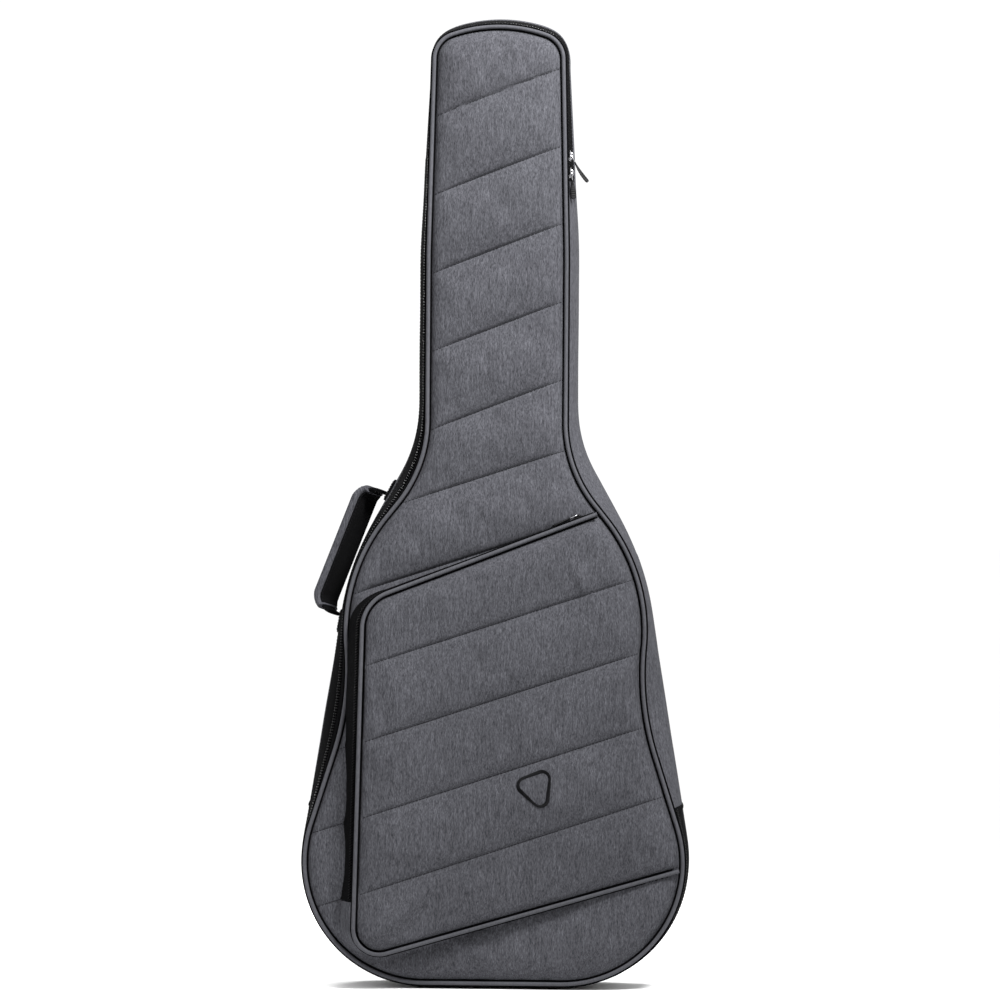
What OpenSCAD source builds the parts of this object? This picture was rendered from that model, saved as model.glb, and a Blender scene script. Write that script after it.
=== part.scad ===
/* [Overall] */
// Height from the base to the crown of the head
bag_height = 1080; // [1070:2:1090]
// Width across the lower bout
bag_width = 432; // [426:2:438]
// Depth of the bag between its front and back seams
gusset_depth = 112; // [106:2:122]
// Depth of the front pocket at its open side
pocket_depth = 30; // [26:1:36]
// How far the shoulder straps stand off the back
strap_stand = 32; // [30:1:38]

/* [Gusset outline] */
// Radius of the lower corners
bout_radius = 140; // [136:1:142]
// Radius of the shoulders
shoulder_radius = 300; // [280:5:310]
// Radius of the hollow between shoulder and neck
flare_radius = 158; // [150:2:166]
// Width across the neck
neck_width = 176; // [170:2:180]
// Radius of the head's corners
head_radius = 36; // [32:1:38]
// Radius of the crown of the head
crown_radius = 160; // [150:5:180]

/* [Panel outline] */
// Width of the front and back panels across the lower bout
panel_width = 422; // [416:2:424]
// Height of the panels' lower edge over the base
panel_rise = 5; // [4:1:8]
// Width of the panels at the waist
waist_width = 330; // [324:2:334]
// Height of the waist over the base
waist_height = 352; // [340:2:360]
// Width of the panels at the upper bout
upper_width = 334; // [332:1:336]
// Width of the panels at the neck
panel_neck_width = 156; // [150:2:158]
// How far the panels' crown lies below the head's
crown_drop = 13; // [11:1:15]

/* [Padding] */
// Thickness of the woven outer cloth
skin_t = 1.6; // [1.2:0.1:2]
// Thickness of the foam in the front and back panels
foam_t = 10; // [8:1:12]
// Thickness of the foam in the gusset
gusset_foam_t = 7; // [5:1:8]
// Thickness of the lining
lining_t = 1.2; // [0.8:0.1:1.6]
// Diameter of the piping
piping_d = 5; // [4:0.5:6]

/* [Pocket] */
// Slope of the pocket's top edge, in degrees
pocket_top_slope = 21; // [19:1:23]
// Slope of the pocket's lower edge, in degrees
pocket_low_slope = 16; // [14:1:17]
// Height of the pocket's upper left corner
pocket_top = 429; // [424:1:434]
// Height of the pocket's lower left corner
pocket_low = 28; // [26:1:34]
// Distance of the pocket's open side from the middle
pocket_reach = 152; // [148:1:154]

/* [Handle] */
// Distance between the handle's ends
handle_span = 157; // [150:1:160]
// How far the handle stands off the gusset
handle_stand = 50; // [46:1:54]
// Width of the handle
handle_width = 42; // [38:1:44]
// Angle that the handle hangs back by
handle_droop = 35; // [30:1:40]

/* [Shoulder straps] */
// Width of the strap's pad
pad_width = 62; // [56:2:66]
// Thickness of the strap's pad
pad_t = 9; // [7:1:10]
// Width of the webbing
webbing_width = 25; // [20:1:28]

/* [Hidden] */
$fn = 48;

gap = 0.2;
arc_step = 8;
far = 2000;
cloth_grey = [0.42, 0.42, 0.45];
piping_grey = [0.6, 0.6, 0.63];
black = [0.07, 0.07, 0.08];
foam_grey = [0.3, 0.3, 0.32];
lining_grey = [0.18, 0.18, 0.2];
chrome = [0.8, 0.8, 0.82];

// Depths, measured from the front face of the front panel
piping_proud = 1.5;
front = pocket_depth + piping_proud - (gusset_depth + pocket_depth + piping_proud + strap_stand) / 2;
back = front + gusset_depth;
panel_t = skin_t + foam_t + lining_t + 2 * gap;
tape_t = 1.5;
tape_inset = 0.4;
coil_t = 1.6;
coil_gap = 1.4;
lid_coil_back = front + 16.6;
body_coil_front = lid_coil_back + coil_gap;
gusset_front = front + 29.2;
gusset_back = back - piping_d - gap;
back_lining_back = back - skin_t - foam_t - 2 * gap;
back_step = 12.4;
flange_inset = 2.5;

// Where the zip stops and the cloth hinge of the lid takes over, on the right side
hinge_low = 200;
zip_end = 896;
lid_zip_start = 937;

// An outline is a row of bends, each [x, z, radius], with a negative radius on a hollow bend
gusset_bends = [
    [bag_width / 2 - bout_radius, bout_radius, bout_radius],
    [172.5 - shoulder_radius * cos(9.2), 420 - shoulder_radius * sin(9.2), shoulder_radius],
    [neck_width / 2 + flare_radius, 650, -flare_radius],
    [neck_width / 2 - 1200, 790, 1200],
    round_top(40, bag_height - crown_radius, crown_radius, head_radius),
    [0, bag_height - crown_radius, crown_radius]
];
panel_bout_r = bout_radius - panel_rise;
waist_r = 300;
upper_r = 200;
panel_bends = [
    [panel_width / 2 - panel_bout_r, panel_rise + panel_bout_r, panel_bout_r],
    [waist_width / 2 + waist_r, waist_height, -waist_r],
    [
        upper_width / 2 - upper_r,
        waist_height + side_of(waist_r + upper_r, (waist_width - upper_width) / 2 + waist_r + upper_r),
        upper_r
    ],
    [panel_neck_width / 2 + 145, 629, -145],
    [panel_neck_width / 2 - 1200, 800, 1200],
    round_top(43, bag_height - crown_drop - crown_radius, crown_radius, 30),
    [0, bag_height - crown_drop - crown_radius, crown_radius]
];

function side_of(long, short) = sqrt(long * long - short * short);
function polar(r, a) = [r * cos(a), r * sin(a)];
function turned(a) = a > 180 ? a - 360 : (a <= -180 ? a + 360 : a);
function unit(v) = v / norm(v);

// A bend of radius r at x that meets the crown smoothly
function round_top(x, crown_z, crown_r, r) = [x, crown_z + side_of(crown_r - r, x), r];

// Direction that the outline faces on the straight between two bends
function facing(p, q) = let(d = [q[0] - p[0], q[1] - p[1]])
    turned(atan2(d[1], d[0]) - acos(max(-1, min(1, (p[2] - q[2]) / norm(d)))));

function bend_points(b, a0, a1, inset) = let(n = max(1, ceil(abs(a1 - a0) / arc_step)))
    [for (k = [0:n]) [b[0], b[1]] + polar(b[2] - inset, a0 + (a1 - a0) * k / n)];

function thinned(p) = [for (i = [0:len(p) - 1]) if (i == 0 || norm(p[i] - p[i - 1]) > 0.1) p[i]];

function half_outline(bends, inset) = thinned([
    for (i = [0:len(bends) - 1])
        let(a0 = i == 0 ? -90 : facing(bends[i - 1], bends[i]))
        let(a1 = i == len(bends) - 1 ? 90 : facing(bends[i], bends[i + 1]))
        each bend_points(bends[i], a0, a1, inset)
]);

function outline(bends, inset) = let(h = half_outline(bends, inset))
    concat(h, [for (i = [len(h) - 2:-1:0]) [-h[i][0], h[i][1]]]);

// Half the outline's width on the straight after bend i, at height z
function half_width(bends, i, z) = let(a = facing(bends[i], bends[i + 1]))
    let(p = [bends[i][0], bends[i][1]] + polar(bends[i][2], a))
    p[0] - (z - p[1]) * tan(a);

// A corner v of a polygon, moved in by inset and rounded with radius r
function corner(p, v, q, r, inset) = let(u = unit(p - v), w = unit(q - v))
    let(half = acos(u * w) / 2, bisector = unit(u + w))
    let(c = v + bisector * (r / sin(half)))
    let(middle = atan2(-bisector[1], -bisector[0]), spread = 90 - half)
    let(way = cross(p - v, q - v) > 0 ? 1 : -1)
    [for (k = [-4:4]) c + polar(r - inset, middle - way * spread * k / 4)];

// A plate that lies upright, its back face at y
module upright(y, t) {
    translate([0, y, 0]) rotate([90, 0, 0]) linear_extrude(t) children();
}
module shape(bends, inset) {
    polygon(outline(bends, inset));
}
module band(bends, outer, inner) {
    difference() {
        shape(bends, outer);
        shape(bends, inner);
    }
}
module panel_plate(y, t, inset) {
    upright(y, t) shape(panel_bends, inset);
}
// The stretch of the right side between two heights
module right_stretch(y, t, low, high) {
    translate([0, y - t, low]) cube([bag_width, t, high - low]);
}

// ---- Front lid ----
module front_panel() {
    color(cloth_grey) panel_plate(front + skin_t, skin_t, 3.2);
}
module front_foam() {
    color(foam_grey) panel_plate(front + skin_t + gap + foam_t, foam_t, 3.4);
}
module front_lining() {
    color(lining_grey) panel_plate(front + panel_t, lining_t, 3.4);
}
module front_piping() {
    color(piping_grey) upright(front + piping_d - piping_proud, piping_d) band(panel_bends, 0, 3);
}
module lid_zip_tape() {
    tape_back = lid_coil_back - coil_t - gap;
    color(black) difference() {
        upright(tape_back, 11) band(panel_bends, tape_inset, tape_inset + tape_t);
        right_stretch(far / 2, far, hinge_low, lid_zip_start);
    }
}
module lid_zip_coil() {
    color(black) difference() {
        upright(lid_coil_back, coil_t) band(panel_bends, -0.6, 2.9);
        right_stretch(far / 2, far, hinge_low, lid_zip_start);
    }
}

// ---- Body ----
module body_zip_coil() {
    color(black) difference() {
        upright(body_coil_front + coil_t, coil_t) band(panel_bends, -0.6, 2.9);
        right_stretch(far / 2, far, hinge_low, zip_end);
    }
}
module body_zip_tape() {
    tape_front = body_coil_front + coil_t + gap;
    tape_back = gusset_front - gap;
    color(black) difference() {
        upright(tape_back, tape_back - tape_front) band(panel_bends, tape_inset, tape_inset + tape_t);
        right_stretch(far / 2, far, hinge_low, zip_end);
    }
}
module hinge_strip() {
    strip_back = gusset_front - gap;
    strip_d = strip_back - front - piping_d + piping_proud - gap;
    color(cloth_grey) intersection() {
        upright(strip_back, strip_d) band(panel_bends, tape_inset, tape_inset + tape_t);
        right_stretch(far / 2, far, hinge_low + 1, zip_end - 14);
    }
}
module zip_end_tabs() {
    tab_h = 12;
    strip_back = gusset_front - gap;
    color(black) for (low = [hinge_low + gap, zip_end - tab_h - 1]) intersection() {
        upright(strip_back, 12) band(panel_bends, -1.4, 0.2);
        right_stretch(far / 2, far, low, low + tab_h);
    }
}
module gusset_shell() {
    union() {
        upright(gusset_back, gusset_back - gusset_front) band(gusset_bends, 0, skin_t);
        for (y = [gusset_front + skin_t, gusset_back]) upright(y, skin_t) difference() {
            shape(gusset_bends, skin_t / 2);
            shape(panel_bends, flange_inset);
        }
    }
}
module gusset_right() {
    color(cloth_grey) intersection() {
        gusset_shell();
        translate([gap / 2, -far / 2, hinge_low + gap]) cube(far);
    }
}
module gusset_left() {
    color(cloth_grey) intersection() {
        gusset_shell();
        translate([-far - gap / 2, -far / 2, hinge_low + gap]) cube(far);
    }
}
module base_boot() {
    color(black) intersection() {
        gusset_shell();
        translate([-far / 2, -far / 2, hinge_low - far]) cube(far);
    }
}
module gusset_foam() {
    inner = skin_t + gap + gusset_foam_t;
    y = gusset_back - skin_t - gap;
    color(foam_grey) upright(y, y - gusset_front - skin_t - gap) band(gusset_bends, skin_t + gap, inner);
}
module gusset_lining() {
    outer = skin_t + 2 * gap + gusset_foam_t;
    y = gusset_back - skin_t - gap;
    depth = y - gusset_front - skin_t - gap;
    color(lining_grey) upright(y, depth) band(gusset_bends, outer, outer + lining_t);
}
module back_panel() {
    color(cloth_grey) panel_plate(back, skin_t, 3.2);
}
// The back's foam steps in where it passes the gusset's flange
module back_foam() {
    color(foam_grey) union() {
        panel_plate(back - skin_t - gap, foam_t / 2, 3.4);
        panel_plate(back - skin_t - gap - foam_t / 2, foam_t / 2, back_step);
    }
}
module back_lining() {
    color(lining_grey) panel_plate(back_lining_back, lining_t, back_step);
}
module back_piping() {
    color(piping_grey) upright(back + 1, piping_d) band(panel_bends, 0, 3);
}

// ---- Padding inside the body ----
module neck_cradle() {
    cradle = [116, 30, 56];
    notch_r = 30;
    y = back_lining_back - lining_t - gap;
    color(lining_grey) translate([0, y, 700]) difference() {
        translate([-cradle[0] / 2, -cradle[1], 0]) cube(cradle);
        translate([0, -cradle[1] - 8, -1]) cylinder(r = notch_r, h = cradle[2] + 2);
    }
}
module end_pad() {
    pad = [140, 56, 6];
    low = skin_t + 3 * gap + gusset_foam_t + lining_t;
    color(lining_grey) translate([-pad[0] / 2, (front + back - pad[1]) / 2, low]) cube(pad);
}
module head_pad() {
    pad = [70, 56, 5];
    color(lining_grey) translate([-pad[0] / 2, (front + back - pad[1]) / 2, bag_height - 25]) cube(pad);
}

// ---- Front pocket ----
pocket_hinge_x = 200;
pocket_seam_depth = 6;
pocket_tilt = atan((pocket_depth - pocket_seam_depth) / (pocket_hinge_x + pocket_reach));
pocket_wall = 1.5;
pocket_foam_t = 2.6;
half_tape = 2.6;
pocket_piping_back = piping_d - piping_proud;
top_corner_r = 44;
low_corner_r = 30;
pocket_right = 250;
pocket_top_x = 5 - pocket_reach;
pocket_low_x = -4 - pocket_reach;
pocket_corners = [
    [pocket_right, pocket_top + (pocket_right - pocket_top_x) * tan(pocket_top_slope)],
    [pocket_top_x, pocket_top],
    [pocket_low_x, pocket_low],
    [pocket_right, pocket_low + (pocket_right - pocket_low_x) * tan(pocket_low_slope)]
];
// The fold that the pocket's flap opens about runs between the two ends of its zip
fold_top_x = 105;
fold_top = [fold_top_x, pocket_top + (fold_top_x - pocket_top_x) * tan(pocket_top_slope) + 2];
fold_low = [-pocket_reach - 6, 97];
fold_facing = unit([fold_low[1] - fold_top[1], fold_top[0] - fold_low[0]]);

function pocket_outline(inset) = let(c = pocket_corners)
    concat(
        [c[0] - [0, inset / cos(pocket_top_slope)]],
        corner(c[0], c[1], c[2], top_corner_r, inset),
        corner(c[1], c[2], c[3], low_corner_r, inset),
        [c[3] + [0, inset / cos(pocket_low_slope)]]
    );

module pocket_shape(inset) {
    intersection() {
        polygon(pocket_outline(inset));
        shape(panel_bends, inset + 3.4);
    }
}
module pocket_band(outer, inner) {
    difference() {
        pocket_shape(outer);
        pocket_shape(inner);
    }
}
// Everything on the flap's side of the fold, kept back from it by clear
module flap_side(clear) {
    start = fold_low + fold_facing * clear;
    along = unit(fold_top - fold_low) * far;
    polygon([start - along, start + along, start + along + fold_facing * far, start - along + fold_facing * far]);
}
// The pocket's front leans back from its open side to the seam on the right
module on_pocket() {
    translate([pocket_hinge_x, front - pocket_seam_depth, 0]) rotate([0, 0, pocket_tilt])
        translate([-pocket_hinge_x, 0, 0]) children();
}
module pocket_plate(y, t) {
    on_pocket() upright(y, t) intersection() {
        children(0);
        children(1);
    }
}
module lower_side(clear) {
    difference() {
        square(far, center = true);
        flap_side(-clear);
    }
}
module behind_pocket(depth) {
    on_pocket() translate([-far / 2, depth, -far / 2]) cube(far);
}
fold_clear = 0.3;
flap_tape_back = pocket_piping_back + gap + half_tape;
pocket_coil_t = 1.4;
flap_coil_back = flap_tape_back + gap + pocket_coil_t;
lid_coil_front = flap_coil_back + coil_gap;

module pocket_panel() {
    color(cloth_grey) pocket_plate(skin_t, skin_t) {
        pocket_shape(3.2);
        lower_side(fold_clear);
    }
}
module pocket_foam() {
    color(foam_grey) pocket_plate(skin_t + gap + pocket_foam_t, pocket_foam_t) {
        pocket_shape(3.4);
        lower_side(fold_clear);
    }
}
module pocket_piping() {
    color(piping_grey) pocket_plate(pocket_piping_back, piping_d) {
        pocket_band(0, 3);
        lower_side(fold_clear);
    }
}
module pocket_gusset() {
    color(cloth_grey) intersection() {
        upright(front - gap, far) intersection() {
            pocket_band(0.4, 0.4 + pocket_wall);
            lower_side(fold_clear);
        }
        behind_pocket(pocket_piping_back + gap);
    }
}
module pocket_zip_tape() {
    color(black) intersection() {
        upright(front - gap, far) intersection() {
            pocket_band(0.4, 0.4 + pocket_wall);
            flap_side(fold_clear);
        }
        behind_pocket(lid_coil_front + pocket_coil_t + gap);
    }
}
module pocket_zip_coil() {
    color(black) pocket_plate(lid_coil_front + pocket_coil_t, pocket_coil_t) {
        pocket_band(-0.4, 2.4);
        flap_side(fold_clear);
    }
}
module pocket_motif() {
    size = 26;
    line_t = 3;
    tip = [[-size, size], [size, size], [0, -size]];
    color(black) on_pocket() upright(-gap / 2, 0.5) translate([50, 216]) rotate(pocket_top_slope)
        difference() {
            polygon([for (i = [0:2]) each corner(tip[(i + 2) % 3], tip[i], tip[(i + 1) % 3], 10, 0)]);
            polygon([for (i = [0:2]) each corner(tip[(i + 2) % 3], tip[i], tip[(i + 1) % 3], 10, line_t)]);
        }
}

// ---- Pocket flap ----
module flap_panel() {
    color(cloth_grey) pocket_plate(skin_t, skin_t) {
        pocket_shape(3.2);
        flap_side(fold_clear);
    }
}
module flap_foam() {
    color(foam_grey) pocket_plate(skin_t + gap + pocket_foam_t, pocket_foam_t) {
        pocket_shape(3.4);
        flap_side(fold_clear + 3);
    }
}
module flap_piping() {
    color(piping_grey) pocket_plate(pocket_piping_back, piping_d) {
        pocket_band(0, 3);
        flap_side(fold_clear + 2);
    }
}
module flap_zip_tape() {
    color(black) pocket_plate(flap_tape_back, half_tape) {
        pocket_band(0.4, 0.4 + pocket_wall);
        difference() {
            flap_side(fold_clear + 2);
            pocket_slider_room();
        }
    }
}
module flap_zip_coil() {
    color(black) pocket_plate(flap_coil_back, pocket_coil_t) {
        pocket_band(-0.4, 2.4);
        difference() {
            flap_side(fold_clear + 2);
            pocket_slider_room();
        }
    }
}
module pocket_slider_room() {
    translate([pocket_slider_x - 10, 0]) square(far);
}

// ---- Zip sliders and pulls ----
// A slider faces +Z across its coils and runs along X, with its post in the gap between the coils
slider = [12, 8, 1.4];
slider_slot = 4.4;
post = [4, 0.8];
bail = [6.4, 3, 3.4];
bail_wall = 1.2;
pull_bar_r = 0.7;
module slider_body() {
    top = slider_slot / 2;
    color(chrome) union() {
        for (z = [top, -top - slider[2]]) translate([-slider[0] / 2, -slider[1] / 2, z]) cube(slider);
        translate([-slider[0] / 2, -post[1] / 2, -top - 0.5]) cube([post[0], post[1], slider_slot + 1]);
        translate([0, 0, top + slider[2] - 0.1]) difference() {
            translate([-bail[0] / 2, -bail[1] / 2, 0]) cube(bail);
            translate([-bail[0] / 2 + bail_wall, -bail[1], 0.1]) cube([bail[0] - 2 * bail_wall, 2 * bail[1], 2.2]);
        }
    }
}
pull_bar_z = slider_slot / 2 + slider[2] + 1.1;
// A pull hangs towards -X at an angle of lift, from a bar through the slider's bail
module slider_pull(length, lift) {
    arm = [12, 1.2, 1.6];
    tab = [length - 10, 7, 2.4];
    color(black) translate([0, 0, pull_bar_z]) rotate([0, lift, 0]) union() {
        rotate([90, 0, 0]) cylinder(r = pull_bar_r, h = 6.4, center = true);
        for (side = [-1, 1]) translate([-arm[0], side * 2.9 - arm[1] / 2, -arm[2] / 2]) cube(arm);
        translate([-10 - tab[0], -tab[1] / 2, -tab[2] / 2]) cube(tab);
    }
}
main_angle = facing(panel_bends[4], panel_bends[5]);
function main_slider_at(z) = half_width(panel_bends, 4, z) - 1.15;
module on_main_zip(z) {
    translate([main_slider_at(z), (lid_coil_back + body_coil_front) / 2, z])
        rotate([0, 90 - main_angle, 0]) rotate([0, 0, 180]) children();
}
upper_slider_z = 924;
lower_slider_z = 905;
upper_pull_lift = 22;
module upper_slider() {
    on_main_zip(upper_slider_z) slider_body();
}
module upper_pull() {
    on_main_zip(upper_slider_z) slider_pull(30, upper_pull_lift);
}
module lower_slider() {
    on_main_zip(lower_slider_z) slider_body();
}
module lower_pull() {
    on_main_zip(lower_slider_z) slider_pull(28, 0);
}
pocket_slider_x = 92;
pocket_slider_z = pocket_top + (pocket_slider_x - pocket_top_x) * tan(pocket_top_slope);
module on_pocket_zip() {
    angle = 90 + pocket_top_slope;
    on_pocket() translate([pocket_slider_x, (flap_coil_back + lid_coil_front) / 2, pocket_slider_z])
        rotate([0, 90 - angle, 0]) translate([0, 0, -1]) rotate([0, 0, 180]) children();
}
module pocket_slider() {
    on_pocket_zip() slider_body();
}
module pocket_pull() {
    on_pocket_zip() rotate([0, 0, 180]) slider_pull(26, 8);
}

// ---- Carrying handle on the left side ----
handle_high = [-118.5, 551.5];
handle_axis_off = 9;
handle_corner_r = 38;
handle_tab_h = 12;
handle_low = handle_high + unit([-56, -144]) * handle_span;
handle_angle = atan2(handle_high[0] - handle_low[0], handle_high[1] - handle_low[1]);
// Along the handle is +Z from its lower end, and it stands off towards -X
module on_handle() {
    off = [-cos(handle_angle), sin(handle_angle)] * handle_axis_off;
    translate([handle_low[0] + off[0], (front + back) / 2 + 6, handle_low[1] + off[1]])
        rotate([0, handle_angle, 0]) rotate([0, 0, -handle_droop]) children();
}
function handle_profile(inset) = let(r = handle_corner_r, c = handle_stand - handle_axis_off - r)
    concat(
        [[0, inset]],
        [for (k = [0:6]) [-c, r] + (r - inset) * [-sin(k * 15), -cos(k * 15)]],
        [for (k = [6:-1:0]) [-c, handle_span - r] + (r - inset) * [-sin(k * 15), cos(k * 15)]],
        [[0, handle_span - inset]]
    );
module handle_layer(outer, inner, width) {
    rotate([90, 0, 0]) linear_extrude(width, center = true) difference() {
        polygon(handle_profile(outer));
        polygon(handle_profile(inner));
        translate([-handle_tab_h, -1]) square([2 * handle_tab_h, handle_span + 2]);
    }
}
module handle_cover() {
    color(cloth_grey) on_handle() handle_layer(0, 2, handle_width);
}
module handle_foam() {
    color(foam_grey) on_handle() handle_layer(2 + gap, 8, handle_width - 4);
}
module handle_lining() {
    color(black) on_handle() handle_layer(8 + gap, 10, handle_width);
}
module handle_tabs() {
    tab = [9, 18, 5];
    color(black) on_handle() for (z = [1, handle_span - 1 - tab[2]])
        translate([-handle_tab_h + gap, -tab[1] / 2, z]) cube(tab);
}
module handle_anchors() {
    patch = [2, 30, 26];
    low_angle = facing(gusset_bends[0], gusset_bends[1]);
    high_angle = facing(gusset_bends[1], gusset_bends[2]);
    color(black) for (a = [[handle_low, low_angle], [handle_high, high_angle]])
        translate([-half_width(gusset_bends, a[1] == low_angle ? 0 : 1, a[0][1]), (front + back) / 2 + 6, a[0][1]])
            rotate([0, a[1], 0]) translate([-patch[0] - gap, -patch[1] / 2, -patch[2] / 2]) cube(patch);
}

// ---- Shoulder straps ----
strap_high = [45, 640];
strap_low = [150, 152];
strap_length = norm(strap_low - strap_high);
strap_lean = atan2(strap_low[0] - strap_high[0], strap_high[1] - strap_low[1]);
strap_end = 6.5;
pad_from = 46;
pad_to = 330;
buckle = [32, 5, 26];
// Distance of a strap from the back panel, at s along its length
function strap_height(s) = strap_end + (strap_stand - pad_t - strap_end) * sin(180 * s / strap_length);
module on_strap(side) {
    translate([side * strap_high[0], back + 1, strap_high[1]]) rotate([0, -side * strap_lean, 0]) children();
}
module strap_ribbon(from, to, t, width) {
    steps = 10;
    s = [for (k = [0:steps]) from + (to - from) * k / steps];
    rotate([90, 0, 90]) linear_extrude(width, center = true) polygon(concat(
        [for (v = s) [strap_height(v), -v]],
        [for (k = [steps:-1:0]) [strap_height(s[k]) + t, -s[k]]]
    ));
}
module strap_pad(side) {
    r = pad_width / 2;
    color(cloth_grey) on_strap(side) intersection() {
        strap_ribbon(pad_from, pad_to, pad_t - 1, pad_width);
        rotate([-90, 0, 0]) linear_extrude(far, center = true) union() {
            for (s = [pad_from + r, pad_to - r]) translate([0, s]) circle(r);
            translate([-r, pad_from + r]) square([pad_width, pad_to - pad_from - 2 * r]);
        }
    }
}
module strap_webbing(side) {
    color(black) on_strap(side) {
        strap_ribbon(2, pad_from - gap, 2, webbing_width);
        strap_ribbon(pad_to + buckle[2] + 2 * gap, strap_length - 2, 2, webbing_width);
    }
}
module ladder_lock(side) {
    slot = [webbing_width + 1, 4.6];
    h = strap_height(pad_to + buckle[2] / 2);
    color(black) on_strap(side) translate([-buckle[0] / 2, h - 1, -pad_to - buckle[2] - gap]) difference() {
        cube(buckle);
        for (z = [3, 10.6, 18.2]) translate([(buckle[0] - slot[0]) / 2, -1, z]) cube([slot[0], buckle[1] + 2, slot[1]]);
    }
}
module strap_yoke() {
    patch = [126, 3, 44];
    color(cloth_grey) translate([-patch[0] / 2, back + 1 + gap, strap_high[1] - 4]) cube(patch);
}
module strap_anchors() {
    patch = [34, 2, 24];
    color(black) for (side = [-1, 1])
        translate([side * strap_low[0] - patch[0] / 2, back + 1 + gap, strap_low[1] - patch[2] + 6]) cube(patch);
}
module left_strap_pad() {
    strap_pad(-1);
}
module left_strap_webbing() {
    strap_webbing(-1);
}
module left_ladder_lock() {
    ladder_lock(-1);
}
module right_strap_pad() {
    strap_pad(1);
}
module right_strap_webbing() {
    strap_webbing(1);
}
module right_ladder_lock() {
    ladder_lock(1);
}

front_panel();
front_foam();
front_lining();
front_piping();
lid_zip_tape();
lid_zip_coil();
body_zip_coil();
body_zip_tape();
hinge_strip();
zip_end_tabs();
gusset_right();
gusset_left();
base_boot();
gusset_foam();
gusset_lining();
back_panel();
back_foam();
back_lining();
back_piping();
neck_cradle();
end_pad();
head_pad();
pocket_gusset();
pocket_panel();
pocket_foam();
pocket_piping();
pocket_motif();
pocket_zip_tape();
pocket_zip_coil();
flap_panel();
flap_foam();
flap_piping();
flap_zip_tape();
flap_zip_coil();
upper_slider();
upper_pull();
lower_slider();
lower_pull();
pocket_slider();
pocket_pull();
handle_anchors();
handle_tabs();
handle_cover();
handle_foam();
handle_lining();
strap_yoke();
strap_anchors();
left_strap_pad();
left_strap_webbing();
left_ladder_lock();
right_strap_pad();
right_strap_webbing();
right_ladder_lock();
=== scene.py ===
import math

import bmesh
import bpy
import numpy as np
from mathutils import Matrix, Vector
from mathutils.kdtree import KDTree


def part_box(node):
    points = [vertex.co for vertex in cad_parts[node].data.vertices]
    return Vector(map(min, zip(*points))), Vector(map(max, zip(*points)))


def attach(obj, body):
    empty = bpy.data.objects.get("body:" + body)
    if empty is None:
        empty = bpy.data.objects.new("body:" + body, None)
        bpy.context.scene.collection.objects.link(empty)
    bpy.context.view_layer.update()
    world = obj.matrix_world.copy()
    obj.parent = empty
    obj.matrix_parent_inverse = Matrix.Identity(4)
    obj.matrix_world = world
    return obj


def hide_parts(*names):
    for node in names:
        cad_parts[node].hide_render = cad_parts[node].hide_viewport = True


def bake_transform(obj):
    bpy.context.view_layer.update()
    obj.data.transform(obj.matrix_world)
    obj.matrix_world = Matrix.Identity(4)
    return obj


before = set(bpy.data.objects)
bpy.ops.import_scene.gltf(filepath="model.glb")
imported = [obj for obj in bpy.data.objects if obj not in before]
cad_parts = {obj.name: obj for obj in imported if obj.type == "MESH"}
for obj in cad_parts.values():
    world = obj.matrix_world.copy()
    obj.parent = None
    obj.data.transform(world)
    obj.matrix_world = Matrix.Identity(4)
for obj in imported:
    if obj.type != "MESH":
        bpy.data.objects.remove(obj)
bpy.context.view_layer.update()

# Lengths are in millimetres up to the moment a mesh is made
MM = 0.001

# ---- The bag's own measures, as in the CAD ----
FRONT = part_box("front_panel")[0].y / MM
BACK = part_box("back_panel")[1].y / MM
BAG_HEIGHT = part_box("gusset_right")[1].z / MM
CROWN_R = 160.0
ZIP_LINE = (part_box("lid_zip_coil")[1].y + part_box("body_zip_coil")[0].y) / 2 / MM
ZIP_LOW = 200.0
ZIP_END = 897.0
PIPING_R = 2.15
POCKET_HINGE_X = 200.0
POCKET_SEAM_DEPTH = 6.0
POCKET_TILT = math.atan(24 / 352)
# A corner's x and z, and the slope of the edge that runs from it to the right
POCKET_TOP = (-147.0, 429.0, math.radians(21))
POCKET_LOW = (-156.0, 28.0, math.radians(16))
POCKET_THICK = 3.4
UPPER_CORNER_R, LOWER_CORNER_R = 44, 30
FOLD_TOP = (105.0, 527.7)
FOLD_LOW = (-158.0, 97.0)


def pocket_edge(edge, x):
    """Height at x of the pocket's upper or lower edge."""
    at_x, at_z, slope = edge
    return at_z + (x - at_x) * math.tan(slope)


def side_of(long, short):
    """The third side of a right-angled triangle."""
    return math.sqrt(long * long - short * short)


# Each bend is x, z and radius; a hollow bend has a negative radius
GUSSET_BENDS = [
    (76, 140, 140),
    (172.5 - 300 * math.cos(math.radians(9.2)), 420 - 300 * math.sin(math.radians(9.2)), 300),
    (246, 650, -158),
    (-1112, 790, 1200),
    (40, BAG_HEIGHT - CROWN_R + side_of(CROWN_R - 36, 40), 36),
    (0, BAG_HEIGHT - CROWN_R, CROWN_R),
]
PANEL_BENDS = [
    (76, 140, 135),
    (465, 352, -300),
    (-33, 352 + side_of(500, 498), 200),
    (223, 629, -145),
    (-1122, 800, 1200),
    (43, BAG_HEIGHT - 13 - CROWN_R + side_of(CROWN_R - 30, 43), 30),
    (0, BAG_HEIGHT - 13 - CROWN_R, CROWN_R),
]


def facing(p, q):
    """The angle that the outline faces on the straight between two bends."""
    dx, dz = q[0] - p[0], q[1] - p[1]
    a = math.atan2(dz, dx) - math.acos(max(-1, min(1, (p[2] - q[2]) / math.hypot(dx, dz))))
    return (a + math.pi) % (2 * math.pi) - math.pi


def straight(bends, i, z):
    """The straight after bend i: its x at height z, and the angle that it faces."""
    x, bend_z, r = bends[i]
    a = facing(bends[i], bends[i + 1])
    return x + r * math.cos(a) - (z - bend_z - r * math.sin(a)) * math.tan(a), a


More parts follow.
